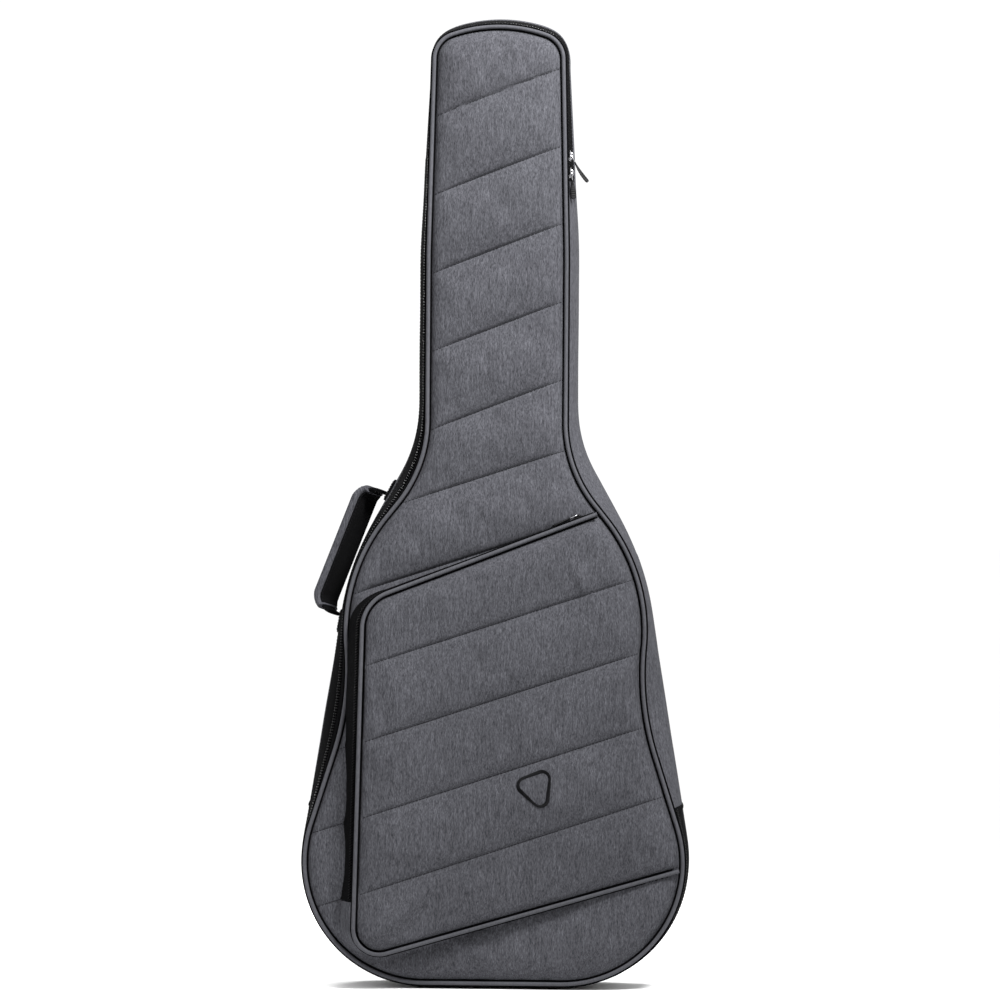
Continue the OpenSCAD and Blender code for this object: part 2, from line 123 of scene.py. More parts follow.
def xyz(x, y, z):
    """Points from their three coordinates, each an array or a number."""
    return np.stack(np.broadcast_arrays(x, y, z), axis=-1)


def interpolated(at, known, values):
    """Rows of values that stand at known places, taken at other places."""
    return np.stack([np.interp(at, known, column) for column in values.T], axis=1)


def resample(line, count, closed=False):
    """count points evenly spaced along a line of points."""
    if closed:
        line = np.vstack([line, line[:1]])
    run = np.concatenate([[0], np.cumsum(np.linalg.norm(np.diff(line, axis=0), axis=1))])
    at = np.linspace(0, run[-1], count, endpoint=not closed)
    return interpolated(at, run, line)


def along_path(path, closed=False):
    """Unit tangents of a line of points."""
    if closed:
        t = np.roll(path, -1, axis=0) - np.roll(path, 1, axis=0)
    else:
        t = np.gradient(path, axis=0)
    return t / np.linalg.norm(t, axis=1)[:, None]


def half_outline(bends, inset=0.0):
    """The right half of an outline from the bottom middle to the top middle."""
    made = []
    for i, (x, z, r) in enumerate(bends):
        a0 = -math.pi / 2 if i == 0 else facing(bends[i - 1], bends[i])
        a1 = math.pi / 2 if i == len(bends) - 1 else facing(bends[i], bends[i + 1])
        a = np.linspace(a0, a1, 40)
        made.append(np.stack([x + (r - inset) * np.cos(a), z + (r - inset) * np.sin(a)], axis=1))
    made = np.concatenate(made)
    return np.vstack([[0, made[0, 1]], made])


def outline(bends, inset, count):
    """A closed outline, from the bottom middle up the right side, and the way it faces."""
    half = half_outline(bends, inset)
    whole = np.vstack([half, (half * [-1, 1])[::-1][1:-1]])
    line = resample(whole, count, closed=True)
    return line, along_path(line, closed=True)[:, ::-1] * [1, -1]


def smooth_ring(values, width):
    """Values round a closed line, averaged over a window."""
    k = np.hanning(2 * width + 1)
    k /= k.sum()
    return np.convolve(np.concatenate([values[-width:], values, values[:width]]), k, mode="valid")


def length_of(line):
    """Length of a line of points."""
    return np.linalg.norm(np.diff(line, axis=0), axis=1).sum()


# The seam between the front panel and the gusset, which the back repeats
RING = 960
SEAM, SEAM_OUT = outline(PANEL_BENDS, 0, RING)
SEAM_WAYS = xyz(SEAM_OUT[:, 0], 0, SEAM_OUT[:, 1])
LONGEST_OVERHANG = 24.0
OVERHANG_WHERE_MISSED = 5.0


def overhang():
    """How far the gusset stands out past the seam, at each point of the seam."""
    a = outline(GUSSET_BENDS, 0, RING)[0]
    e = np.roll(a, -1, axis=0) - a
    found = np.full(RING, OVERHANG_WHERE_MISSED)
    for k in range(RING):
        # Where the line out from the seam meets each side of the gusset's outline
        d, f = SEAM_OUT[k], a - SEAM[k]
        den = d[0] * e[:, 1] - d[1] * e[:, 0]
        with np.errstate(divide="ignore", invalid="ignore"):
            t = (f[:, 0] * e[:, 1] - f[:, 1] * e[:, 0]) / den
            u = (f[:, 0] * d[1] - f[:, 1] * d[0]) / den
        hit = (u >= 0) & (u <= 1) & (t > 0)
        if hit.any():
            found[k] = t[hit].min()
    return smooth_ring(np.minimum(found, LONGEST_OVERHANG), 6)


OVERHANG = overhang()


def seam_line(out, y):
    """The seam's points, moved out by out, at depth y."""
    line = SEAM + SEAM_OUT * out
    return xyz(line[:, 0], y, line[:, 1])


# ---- Making meshes ----
def add_mesh(name, verts, faces, material, crease=50):
    """A smooth mesh object, sharp where faces meet at more than crease degrees."""
    mesh = bpy.data.meshes.new(name)
    mesh.from_pydata((np.asarray(verts, float) * MM).tolist(), [], faces)
    mesh.polygons.foreach_set("use_smooth", [True] * len(mesh.polygons))
    mesh.set_sharp_from_angle(angle=math.radians(crease))
    mesh.materials.append(material)
    mesh.update()
    made = bpy.data.objects.new(name, mesh)
    bpy.context.scene.collection.objects.link(made)
    return made


def outward(verts, faces):
    """The faces, turned so that a closed mesh faces out."""
    v = verts[faces]
    size = np.einsum("ij,ij->i", v[:, 0], np.cross(v[:, 1], v[:, 2])).sum()
    size += np.einsum("ij,ij->i", v[:, 0], np.cross(v[:, 2], v[:, 3])).sum()
    return faces if size > 0 else faces[:, ::-1]


def shell(name, outer, inner, material, wrap=False, crease=50):
    """A closed solid between two grids of points. wrap joins the last column to the first."""
    rows, cols = outer.shape[:2]
    verts = np.concatenate([outer.reshape(-1, 3), inner.reshape(-1, 3)])
    index = np.arange(rows * cols).reshape(rows, cols)
    here = np.arange(cols if wrap else cols - 1)
    there = (here + 1) % cols
    a, b, c, d = index[:-1][:, here], index[:-1][:, there], index[1:][:, there], index[1:][:, here]
    face = np.stack([a, b, c, d], axis=-1).reshape(-1, 4)
    far = rows * cols

    def rim(p, q):
        return np.stack([q, p, p + far, q + far], axis=-1).reshape(-1, 4)

    parts = [face, face[:, ::-1] + far, rim(a[0], b[0]), rim(c[-1], d[-1])]
    if not wrap:
        parts += [rim(d[:, 0], a[:, 0]), rim(b[:, -1], c[:, -1])]
    faces = outward(verts, np.concatenate(parts))
    return add_mesh(name, verts, faces.tolist(), material, crease)


def tube_faces(verts, rings, sides, closed=False):
    """Faces round a stack of rings, facing out, with both ends filled unless it is closed."""
    index = np.arange(rings * sides).reshape(rings, sides)
    below = index if closed else index[:-1]
    above = np.roll(index, -1, axis=0) if closed else index[1:]
    faces = np.stack([below, np.roll(below, -1, 1), np.roll(above, -1, 1), above], axis=-1)
    faces = outward(verts, faces.reshape(-1, 4)).tolist()
    if closed:
        return faces
    first, last = index[0].tolist(), index[-1].tolist()
    if (faces[0][0], faces[0][1]) == (0, 1):
        return faces + [first[::-1], last]
    return faces + [first, last[::-1]]


def sweep(name, path, up, width, thick, material, sides=12, power=2.0, closed=False, crease=50):
    """A round or flat bar along a path. up is the way its thickness points at each point."""
    t = along_path(path, closed)
    up = np.broadcast_to(np.asarray(up, float), path.shape)
    across = np.cross(t, up)
    across /= np.linalg.norm(across, axis=1)[:, None]
    up = np.cross(across, t)
    a = np.arange(sides) * 2 * math.pi / sides
    x = np.sign(np.cos(a)) * np.abs(np.cos(a)) ** (2 / power) / 2
    y = np.sign(np.sin(a)) * np.abs(np.sin(a)) ** (2 / power) / 2
    width = np.broadcast_to(width, len(path))[:, None, None]
    thick = np.broadcast_to(thick, len(path))[:, None, None]
    rings = path[:, None] + across[:, None] * x[:, None] * width + up[:, None] * y[:, None] * thick
    verts = rings.reshape(-1, 3)
    return add_mesh(name, verts, tube_faces(verts, len(path), sides, closed), material, crease)


def turned(ways, matrix):
    """Directions taken from a piece's own frame to the row frame."""
    return np.asarray(ways, float) @ np.array(matrix)[:3, :3].T


def moved(verts, matrix):
    """Points taken from a piece's own frame to the row frame."""
    return turned(verts, matrix) + np.array(matrix)[:3, 3]


def bead(length, width, height, sides=6):
    """A small rounded bar along X, as template points and faces."""
    a = (np.arange(sides) + 0.5) * 2 * math.pi / sides
    verts, faces = [], []
    for x, r in ((-0.5, 0.45), (-0.32, 1.0), (0.32, 1.0), (0.5, 0.45)):
        verts += [(x * length, math.cos(v) * r * width / 2, math.sin(v) * r * height / 2) for v in a]
    for first in (0, sides, 2 * sides):
        for s in range(sides):
            e = (s + 1) % sides
            faces.append([first + s, first + e, first + sides + e, first + sides + s])
    faces.append(list(range(sides))[::-1])
    faces.append(list(range(3 * sides, 4 * sides)))
    return np.array(verts), faces


def scatter(name, template, origins, x_axis, z_axis, material):
    """Copies of a template at each origin, in one mesh."""
    corners, shape = template
    x_axis = x_axis / np.linalg.norm(x_axis, axis=1)[:, None]
    y_axis = np.cross(z_axis, x_axis)
    y_axis /= np.linalg.norm(y_axis, axis=1)[:, None]
    z_axis = np.cross(x_axis, y_axis)
    axes = np.stack([x_axis, y_axis, z_axis], axis=1)
    verts = (origins[:, None] + np.einsum("pk,nkc->npc", corners, axes)).reshape(-1, 3)
    size = len(corners)
    faces = [[i * size + v for v in f] for i in range(len(origins)) for f in shape]
    return add_mesh(name, verts, faces, material)


# Pitch, length and thickness of each kind of stitch
PLAIN_STITCH = (4.0, 2.9, 0.7)
FINE_STITCH = (3.5, 2.5, 0.6)
CROSS_STITCH = (3.0, 2.2, 0.6)


def stitches(path, up, size=PLAIN_STITCH, name="row"):
    """A row of stitches along a path."""
    pitch, length, thick = size
    middles = resample(path, max(3, int(length_of(path) / pitch)))
    up = np.broadcast_to(np.asarray(up, float), middles.shape)
    return scatter(name, bead(length, thick, thick * 0.8), middles, along_path(middles), up, THREAD)


def rounded_box(name, low, high, material, power=7.0, cuts=9, matrix=Matrix()):
    """A block with soft edges between two corners."""
    bm = bmesh.new()
    bmesh.ops.create_cube(bm, size=2.0)
    bmesh.ops.subdivide_edges(bm, edges=bm.edges[:], cuts=cuts, use_grid_fill=True)
    centre = (np.array(low) + np.array(high)) / 2
    half = (np.array(high) - np.array(low)) / 2
    verts = np.array([v.co for v in bm.verts])
    reach = np.abs(verts).max(1) / (np.abs(verts) ** power).sum(1) ** (1 / power)
    faces = [[v.index for v in f.verts] for f in bm.faces]
    bm.free()
    return add_mesh(name, moved(centre + verts * reach[:, None] * half, matrix), faces, material, 80)


def crossed_box(width, height):
    """The corners that a boxed cross of stitching visits, in order."""
    a, b = width / 2, height / 2
    return [(-a, -b), (a, -b), (a, b), (-a, b), (-a, -b), (a, b), (a, -b), (-a, b)]


def joined(name, objects):
    """Several mesh objects as one piece."""
    verts, faces, start = [], [], 0
    for o in objects:
        verts += [v.co / MM for v in o.data.vertices]
        faces += [[start + v for v in p.vertices] for p in o.data.polygons]
        start = len(verts)
        material = o.data.materials[0]
        bpy.data.objects.remove(o)
    return add_mesh(name, np.array(verts), faces, material)


def described(replaces):
    """Hides the CAD parts that a finished object replaces."""
    if replaces:
        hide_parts(*replaces)


def piece(obj, body, replaces=()):
    """A finished object that rides on one body."""
    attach(obj, body)
    described(replaces)


def bent_piece(obj, replaces=()):
    """A finished object whose place is baked into its mesh, riding on no body."""
    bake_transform(obj)
    described(replaces)


# ---- Materials ----
class Shade:
    """A material with a Principled shader, and short names for the nodes it uses."""

    def __init__(self, name, **sockets):
        self.material = bpy.data.materials.new(name)
        self.material.use_nodes = True
        self.tree = self.material.node_tree
        self.tree.nodes.clear()
        self.shader = self.add("ShaderNodeBsdfPrincipled")
        out = self.add("ShaderNodeOutputMaterial")
        self.tree.links.new(self.shader.outputs[0], out.inputs[0])
        for key, value in sockets.items():
            self.shader.inputs[key.replace("_", " ")].default_value = value

    def add(self, kind, **settings):
        node = self.tree.nodes.new(kind)
        for key, value in settings.items():
            setattr(node, key, value)
        return node

    def put(self, value, socket):
        """Links a socket's value, or sets a constant."""
        if isinstance(value, bpy.types.NodeSocket):
            self.tree.links.new(value, socket)
        else:
            socket.default_value = value

    def math(self, operation, a, b=0.0):
        node = self.add("ShaderNodeMath", operation=operation)
        self.put(a, node.inputs[0])
        self.put(b, node.inputs[1])
        return node.outputs[0]

    def noise(self, scale, detail=2.0, rough=0.5):
        """Noise with so many grains a metre: one number, or one for each axis."""
        mapped = self.add("ShaderNodeMapping")
        mapped.inputs["Scale"].default_value = scale if isinstance(scale, tuple) else (scale,) * 3
        self.put(self.add("ShaderNodeTexCoord").outputs["Object"], mapped.inputs[0])
        node = self.add("ShaderNodeTexNoise")
        node.inputs["Scale"].default_value = 1.0
        node.inputs["Detail"].default_value = detail
        node.inputs["Roughness"].default_value = rough
        self.put(mapped.outputs[0], node.inputs["Vector"])
        return node.outputs["Fac"]

    def ramp(self, value, low, high, dark, light):
        """The value, taken from low-high to dark-light."""
        node = self.add("ShaderNodeMapRange")
        for i, v in enumerate((value, low, high, dark, light)):
            self.put(v, node.inputs[i])
        return node.outputs[0]

    def tint(self, value, dark, light):
        """The colour between dark and light for a value from 0 to 1."""
        node = self.add("ShaderNodeMix", data_type="RGBA")
        self.put(value, node.inputs[0])
        self.put((*dark, 1), node.inputs[6])
        self.put((*light, 1), node.inputs[7])
        return node.outputs[2]

    def scaled(self, colour, value):
        node = self.add("ShaderNodeVectorMath", operation="SCALE")
        self.put(colour, node.inputs[0])
        self.put(value, node.inputs["Scale"])
        return node.outputs[0]

    def bump(self, height, distance, strength=1.0):
        node = self.add("ShaderNodeBump")
        node.inputs["Distance"].default_value = distance
        node.inputs["Strength"].default_value = strength
        self.put(height, node.inputs["Height"])
        self.put(node.outputs[0], self.shader.inputs["Normal"])

    def weave(self, pitch):
        """Height of a plain weave with that pitch in metres, which runs round the sides as well."""
        parts = self.add("ShaderNodeSeparateXYZ")
        self.put(self.add("ShaderNodeTexCoord").outputs["Object"], parts.inputs[0])
        across = self.math("ADD", parts.outputs[0], parts.outputs[1])
        k = 2 * math.pi / pitch
        warp, weft = (self.math("SINE", self.math("MULTIPLY", v, k)) for v in (across, parts.outputs[2]))
        return self.math("MULTIPLY", warp, weft)

    def colour(self, value, low, high, dark, light):
        """Base colour from dark to light as the value goes from low to high."""
        mixed = self.tint(self.ramp(value, low, high, 0.0, 1.0), dark, light)
        self.put(mixed, self.shader.inputs["Base Color"])


def heather(name, dark, light, streaks=0.24, broad=0.10):
    """Woven melange cloth: fine upright streaks of dark and light yarn."""
    s = Shade(name, Roughness=1.0, Sheen_Weight=0.012, Sheen_Roughness=0.5, Specular_IOR_Level=0.02)
    fine = s.noise((1050, 1050, 230), 3.0, 0.7)
    long = s.noise((460, 460, 48), 2.0, 0.6)
    wide = s.noise(9)
    colour = s.tint(s.ramp(fine, 0.28, 0.72, 0.0, 1.0), dark, light)
    streaked = s.ramp(long, 0.3, 0.7, 1 - streaks, 1 + streaks)
    level = s.math("MULTIPLY", streaked, s.ramp(wide, 0.3, 0.7, 1 - broad, 1 + broad))
    s.put(s.scaled(colour, level), s.shader.inputs["Base Color"])
    s.bump(fine, 0.0004, 0.7)
    return s.material


def twill(name, dark, light, pitch, rough=0.95, depth=0.0003):
    """Plain dark woven tape or webbing, ribbed across."""
    s = Shade(name, Roughness=rough, Sheen_Weight=0.003, Sheen_Roughness=0.4, Specular_IOR_Level=0.02)
    fine = s.noise(700, 3.0, 0.6)
    s.colour(fine, 0.3, 0.7, dark, light)
    s.bump(s.math("ADD", s.weave(pitch), s.math("MULTIPLY", fine, 0.6)), depth, 0.8)
    return s.material


def moulded(name, dark, light, rough, metal=0.0, depth=0.0001):
    """Moulded plastic, rubber or plated metal with a fine grain and rubbed patches."""
    s = Shade(name, Metallic=metal, Specular_IOR_Level=0.5 if metal else 0.12)
    fine = s.noise(900, 3.0, 0.6)
    wear = s.noise(120, 3.0, 0.6)
    s.colour(wear, 0.35, 0.65, dark, light)
    s.put(s.ramp(wear, 0.3, 0.7, rough * 0.75, rough * 1.3), s.shader.inputs["Roughness"])
    s.bump(fine, depth, 0.5)
    return s.material


def plush(name, dark, light):
    """Brushed lining with a soft pile."""
    s = Shade(name, Roughness=0.97, Sheen_Weight=0.02, Sheen_Roughness=0.5, Specular_IOR_Level=0.02)
    fine = s.noise(1100, 4.0, 0.7)
    wide = s.noise(30, 3.0, 0.6)
    both = s.math("ADD", s.math("MULTIPLY", fine, 0.7), s.math("MULTIPLY", wide, 0.3))
    s.colour(both, 0.35, 0.65, dark, light)
    s.bump(fine, 0.0006, 0.8)
    return s.material


CLOTH = heather("heather_cloth", (0.0165, 0.0167, 0.0195), (0.0690, 0.0695, 0.0780))
PIPING = heather("piping_cloth", (0.037, 0.0375, 0.042), (0.064, 0.0645, 0.072), streaks=0.06)
TAPE = twill("zip_tape", (0.0014, 0.0014, 0.0016), (0.0045, 0.0045, 0.005), 0.0009)
COIL = moulded("zip_coil", (0.002, 0.002, 0.002), (0.005, 0.005, 0.006), 0.42)
BOOT = twill("boot_cloth", (0.006, 0.006, 0.0066), (0.014, 0.014, 0.015), 0.0016, rough=0.7, depth=0.0005)
WEBBING = twill("webbing", (0.0018, 0.0018, 0.002), (0.0065, 0.0065, 0.007), 0.0018, depth=0.0006)
LINING = plush("lining", (0.020, 0.020, 0.024), (0.045, 0.045, 0.052))
# Black binding cloth; where it shows beside the piping it is also painted shade for the gutters there
BINDING_CLOTH_AND_SHADE = twill("black_binding_and_painted_shade", (0.001, 0.001, 0.0012), (0.003, 0.003, 0.0036), 0.001)
THREAD = moulded("thread", (0.003, 0.003, 0.004), (0.010, 0.010, 0.012), 0.7)
MOTIF = moulded("motif_thread", (0.001, 0.001, 0.0012), (0.004, 0.004, 0.005), 0.6)
CHROME = moulded("slider_metal", (0.36, 0.36, 0.38), (0.58, 0.58, 0.60), 0.2, metal=1.0, depth=0.00002)
LACQUER = moulded("slider_lacquer", (0.004, 0.004, 0.004), (0.012, 0.012, 0.013), 0.3)
RUBBER = moulded("pull_moulding", (0.002, 0.002, 0.002), (0.006, 0.006, 0.007), 0.5)
PLASTIC = moulded("buckle_plastic", (0.003, 0.003, 0.003), (0.010, 0.010, 0.011), 0.42)


# ---- Surfaces of the bag ----
def ripple(x, z, seed, length):
    """Slow unevenness of a padded surface, from -1 to 1."""
    rng = np.random.default_rng(seed)
    made = 0
    for _ in range(6):
        a, phase = rng.uniform(0, math.pi), rng.uniform(0, 2 * math.pi)
        size = length * rng.uniform(0.7, 1.6)
        made = made + np.sin((x * math.cos(a) + z * math.sin(a)) * 2 * math.pi / size + phase)
    return made / 4


NECK_LINES = [(993 - 86.5 * k, 21.2) for k in range(5)]
BODY_LINES = [(571.7 - 83.6 * k, 18.2) for k in range(7)]
ALL_LINES = NECK_LINES + BODY_LINES
POCKET_LINES = BODY_LINES[2:6]
GROOVE_WIDTH, GROOVE_DEPTH = 1.5, 1.1


def line_distances(x, z, lines):
    """Distance to the nearest quilting line above and below each point."""
    above, below = np.full(x.shape, 400.0), np.full(x.shape, 400.0)
    for z0, slope in lines:
        a = math.radians(slope)
        q = (z - z0 - x * math.tan(a)) * math.cos(a)
        above = np.where(q <= 0, np.minimum(above, -q), above)
        below = np.where(q > 0, np.minimum(below, q), below)
    return above, below


def channels(x, z, lines, puff):
    """Height of padding sewn down along quilting lines."""
    above, below = line_distances(x, z, lines)
    # Each channel bulges out quickly above a line and slopes in slowly to the next one
    body = (1 - np.exp(-above / 15)) * (1 - np.exp(-below / 8))
    groove = np.exp(-((np.minimum(above, below) / GROOVE_WIDTH) ** 2))
    return puff * body - GROOVE_DEPTH * groove


def edge_distance(x, z, line):
    """Distance from each point to a closed line of points."""
    tree = KDTree(len(line))
    for i, p in enumerate(line):
        tree.insert((p[0], p[1], 0), i)
    tree.balance()
    flat = np.stack([x.ravel(), z.ravel()], axis=1)
    near = np.array([tree.find((p[0], p[1], 0))[1] for p in flat])
    best = np.full(len(flat), 1e9)
    for step in (-1, 1):
        a, b = line[near], line[(near + step) % len(line)]
        ab = b - a
        t = np.clip(((flat - a) * ab).sum(1) / np.maximum((ab * ab).sum(1), 1e-12), 0, 1)
        best = np.minimum(best, np.linalg.norm(flat - a - ab * t[:, None], axis=1))
    return best.reshape(x.shape)


def polygon_holds(polygon, x, z):
    """Which points lie inside a closed line."""
    held = np.zeros(x.shape, bool)
    for (ax, az), (bx, bz) in zip(polygon, np.roll(polygon, -1, axis=0)):
        if az != bz:
            held ^= ((az > z) != (bz > z)) & (x < (bx - ax) * (z - az) / (bz - az) + ax)
    return held


def clustered(count, share=0.45):
    """0 to 1 in steps that are finer at both ends."""
    s = np.linspace(0, 1, count)
    return (1 - share) * s + share * (1 - np.cos(math.pi * s)) / 2


def quilt_slope(c):
    """Slope of the quilting at height c on the middle line."""
    (body_top, body_turn), (neck_foot, neck_turn) = BODY_LINES[0], NECK_LINES[-1]
    return np.tan(np.radians(np.interp(c, [body_top, neck_foot], [body_turn, neck_turn])))


def quilt_rows(low, high, lines, step):
    """Heights for a grid's rows: closer together beside the quilting lines and at both ends."""
    near = np.array([0, 0.6, 1.2, 2.0, 3.2, 5.0, 7.5, 10.5])
    rows = [low + step * np.arange(int((high - low) / step) + 1)]
    for z0, _ in lines:
        if low < z0 < high:
            rows[0] = rows[0][np.abs(rows[0] - z0) > near[-1] + 1.5]
            rows.append(np.concatenate([z0 - near[1:], z0 + near]))
    rows += [low + np.linspace(0, 30, 22), high - np.linspace(0, 30, 22)]
    rows = np.unique(np.clip(np.concatenate(rows), low, high))
    keep = np.concatenate([[True], np.diff(rows) > 0.45])
    keep[-1] = True
    return rows[keep]


def quilted_grid(left, right, bottom, top, lines, columns, step=4.6, fade=16.0):
    """A grid whose rows run along the quilting. Both sides are lines of points, from low to high;
    bottom and top are functions from two end points to the line between them."""

    def crossing(side, c):
        """Where the row at height c crosses a side."""
        g = side[:, 1] - side[:, 0] * quilt_slope(c)
        return np.array([np.interp(c, g, side[:, 0]), np.interp(c, g, side[:, 1])])

    def middle(p):
        """The height on the middle line of the row through a point."""
        c = p[1]
        for _ in range(8):
            c = p[1] - p[0] * quilt_slope(c)
        return c

    def shared_out(line):
        """A line of points with the grid's columns along it."""
        return interpolated(u, np.linspace(0, 1, 600), resample(line, 600))

    c0 = max(middle(left[0]), middle(right[0])) + 0.5
    c1 = min(middle(left[-1]), middle(right[-1])) - 0.5
    rows = quilt_rows(c0, c1, lines, step)
    a = np.array([crossing(left, c) for c in rows])
    b = np.array([crossing(right, c) for c in rows])
    u = clustered(columns)
    low, high = shared_out(bottom(a[0], b[0])), shared_out(top(a[-1], b[-1]))
    made = a[:, None] * (1 - u[:, None]) + b[:, None] * u[:, None]
    # The first and last rows follow the outline, and the rows near them are drawn along
    from_low = np.exp(-(rows - c0) / fade)[:, None, None]
    from_high = np.exp(-(c1 - rows) / fade)[:, None, None]
    made = made + from_low * (low - made[0])
    return made + from_high * (high - made[-1])


def nearest(line, p):
    """Index of the point of a line nearest to p."""
    return np.argmin(np.linalg.norm(line - p, axis=1))


def panel_grid(inset, columns, step=4.6):
    """A grid over the front or back panel: x and z of each point."""
    half = resample(half_outline(PANEL_BENDS, inset), 4000)
    along = along_path(half)
    # The sides end where the outline faces down or up by more than this
    steep = np.radians(50)
    face = np.arctan2(-along[:, 0], along[:, 1])
    side = half[np.argmax(face > -steep) : len(face) - np.argmax(face[::-1] < steep)]
    mirror = np.array([-1, 1])

    def rim(p, q, up):
        """The outline between two points, over the top or under the bottom."""
        i, j = nearest(half * mirror, p), nearest(half, q)
        if up:
            return np.vstack([[p], half[i + 1 :] * mirror, half[j + 1 :][::-1], [q]])
        return np.vstack([[p], (half[:i] * mirror)[::-1], half[:j], [q]])

    bottom, top = lambda p, q: rim(p, q, False), lambda p, q: rim(p, q, True)
    return quilted_grid(side * mirror, side, bottom, top, ALL_LINES, columns, step)


def lay(grid, y):
    """Points of a grid of x and z at depth y."""
    return xyz(grid[..., 0], y, grid[..., 1])


SEAM_Y = FRONT + 3.5
PANEL_INSET = 5.0
EDGE_POINTS = 1400
PANEL_EDGE = outline(PANEL_BENDS, PANEL_INSET, EDGE_POINTS)[0]
STITCH_LIFT = 0.25
QUILT_MARGIN = 2.5
LID_INNER = FRONT + 11.4
BACK_INNER = BACK - 11.6


def to_row(x, y, z):
    """A point of the pocket's leaning frame, in the row frame."""
    c, s = math.cos(POCKET_TILT), math.sin(POCKET_TILT)
    dx = x - POCKET_HINGE_X
    return xyz(POCKET_HINGE_X + dx * c - y * s, FRONT - POCKET_SEAM_DEPTH + dx * s + y * c, z)


def pocket_depth(x, y):
    """Local depth, in the pocket's frame, of a point at depth y in the row frame."""
    lean = (x - POCKET_HINGE_X) * math.sin(POCKET_TILT)
    return (y - (FRONT - POCKET_SEAM_DEPTH) - lean) / math.cos(POCKET_TILT)


def creases(x, z, folds):
    """Height of soft folds, each a centre x and z, an angle in degrees, a width, a length and a height."""
    made = 0.0
    for at_x, at_z, angle, width, length, height in folds:
        a = math.radians(angle)
        u = (x - at_x) * math.cos(a) + (z - at_z) * math.sin(a)
        v = (z - at_z) * math.cos(a) - (x - at_x) * math.sin(a)
        made = made + height * np.exp(-((u / length) ** 2) - (v / width) ** 2)
    return made


FRONT_CREASES = [
    (-10, 1045, 82, 4.5, 17, 1.9), (17, 1046, 104, 4.5, 15, 1.8), (3, 1040, 92, 4, 12, -1.2),
    (118, 58, 75, 7, 24, 5.5), (101, 44, 20, 6, 22, 5.0), (-62, 32, 38, 6, 22, 4.0),
    (-18, 40, 140, 6, 18, 3.6),
]
POCKET_CREASES = [
    (-108, 78, 46, 9, 36, 6.5), (-82, 76, 58, 9, 36, -4.5), (-128, 330, 100, 9, 40, -4.0),
    (34, 140, 75, 14, 50, -5.0), (96, 452, 115, 8, 26, 3.5),
]


def front_surface(x, z):
    """Depth of the front panel's sewn shape."""
    d = edge_distance(x, z, PANEL_EDGE)
    crumple = np.exp(-(((x - 4) / 17) ** 2) - ((z - 1049) / 13) ** 2)
    waist = np.exp(-(((x + 70) / 60) ** 2) - ((z - 560) / 34) ** 2)
    made = channels(x, z, ALL_LINES, 5.0) + 1.7 * ripple(x, z, 3, 170) + 0.45 * ripple(x, z, 5, 48)
    made = made + creases(x, z, FRONT_CREASES) - 3.4 * crumple - 2.2 * waist
    made = made * (1 - np.exp(-d / 14)) + 4.6 * (1 - np.exp(-d / 4.5)) + 4.0 * (1 - np.exp(-d / 45))
    return SEAM_Y - made


# ---- Cloth runs ----
BINDING_THICK = 1.2
CLOTH_PITCH = 6.0
CLOTH_FRAMES = 18
SEWN_REACH = 4.5


def smoothed(field, times):
    """A grid of values, averaged with its neighbours."""
    for _ in range(times):
        near = np.pad(field, 1, mode="edge")
        field = field * 0.5 + (near[:-2, 1:-1] + near[2:, 1:-1] + near[1:-1, :-2] + near[1:-1, 2:]) * 0.125
    return field


def blown_up(rest, quads, sewn):
    """How far along Y each point of a sewn sheet moves when it is blown up."""
    cloth = add_mesh("cloth_run", rest, quads.tolist(), CLOTH)
    cloth.vertex_groups.new(name="sewn").add(np.flatnonzero(sewn).tolist(), 1.0, "REPLACE")
    run = cloth.modifiers.new("cloth", "CLOTH")
    run.settings.quality = 6
    run.settings.mass = 0.3
    run.settings.tension_stiffness = run.settings.compression_stiffness = 20
    run.settings.bending_stiffness = 0.6
    run.settings.air_damping = 4
    run.settings.shrink_min = -0.012
    run.settings.use_pressure = True
    run.settings.uniform_pressure_force = 2.0
    run.settings.vertex_group_mass = "sewn"
    run.settings.effector_weights.gravity = 0
    run.collision_settings.use_collision = False
    run.point_cache.frame_end = CLOTH_FRAMES
    for frame_number in range(1, CLOTH_FRAMES + 1):
        bpy.context.scene.frame_set(frame_number)
    after = cloth.evaluated_get(bpy.context.evaluated_depsgraph_get()).data
    ends = np.empty(len(rest) * 3)
    after.vertices.foreach_get("co", ends)
    bpy.data.objects.remove(cloth)
    bpy.context.scene.frame_set(1)
    return ends.reshape(-1, 3)[:, 1] / MM - rest[:, 1]


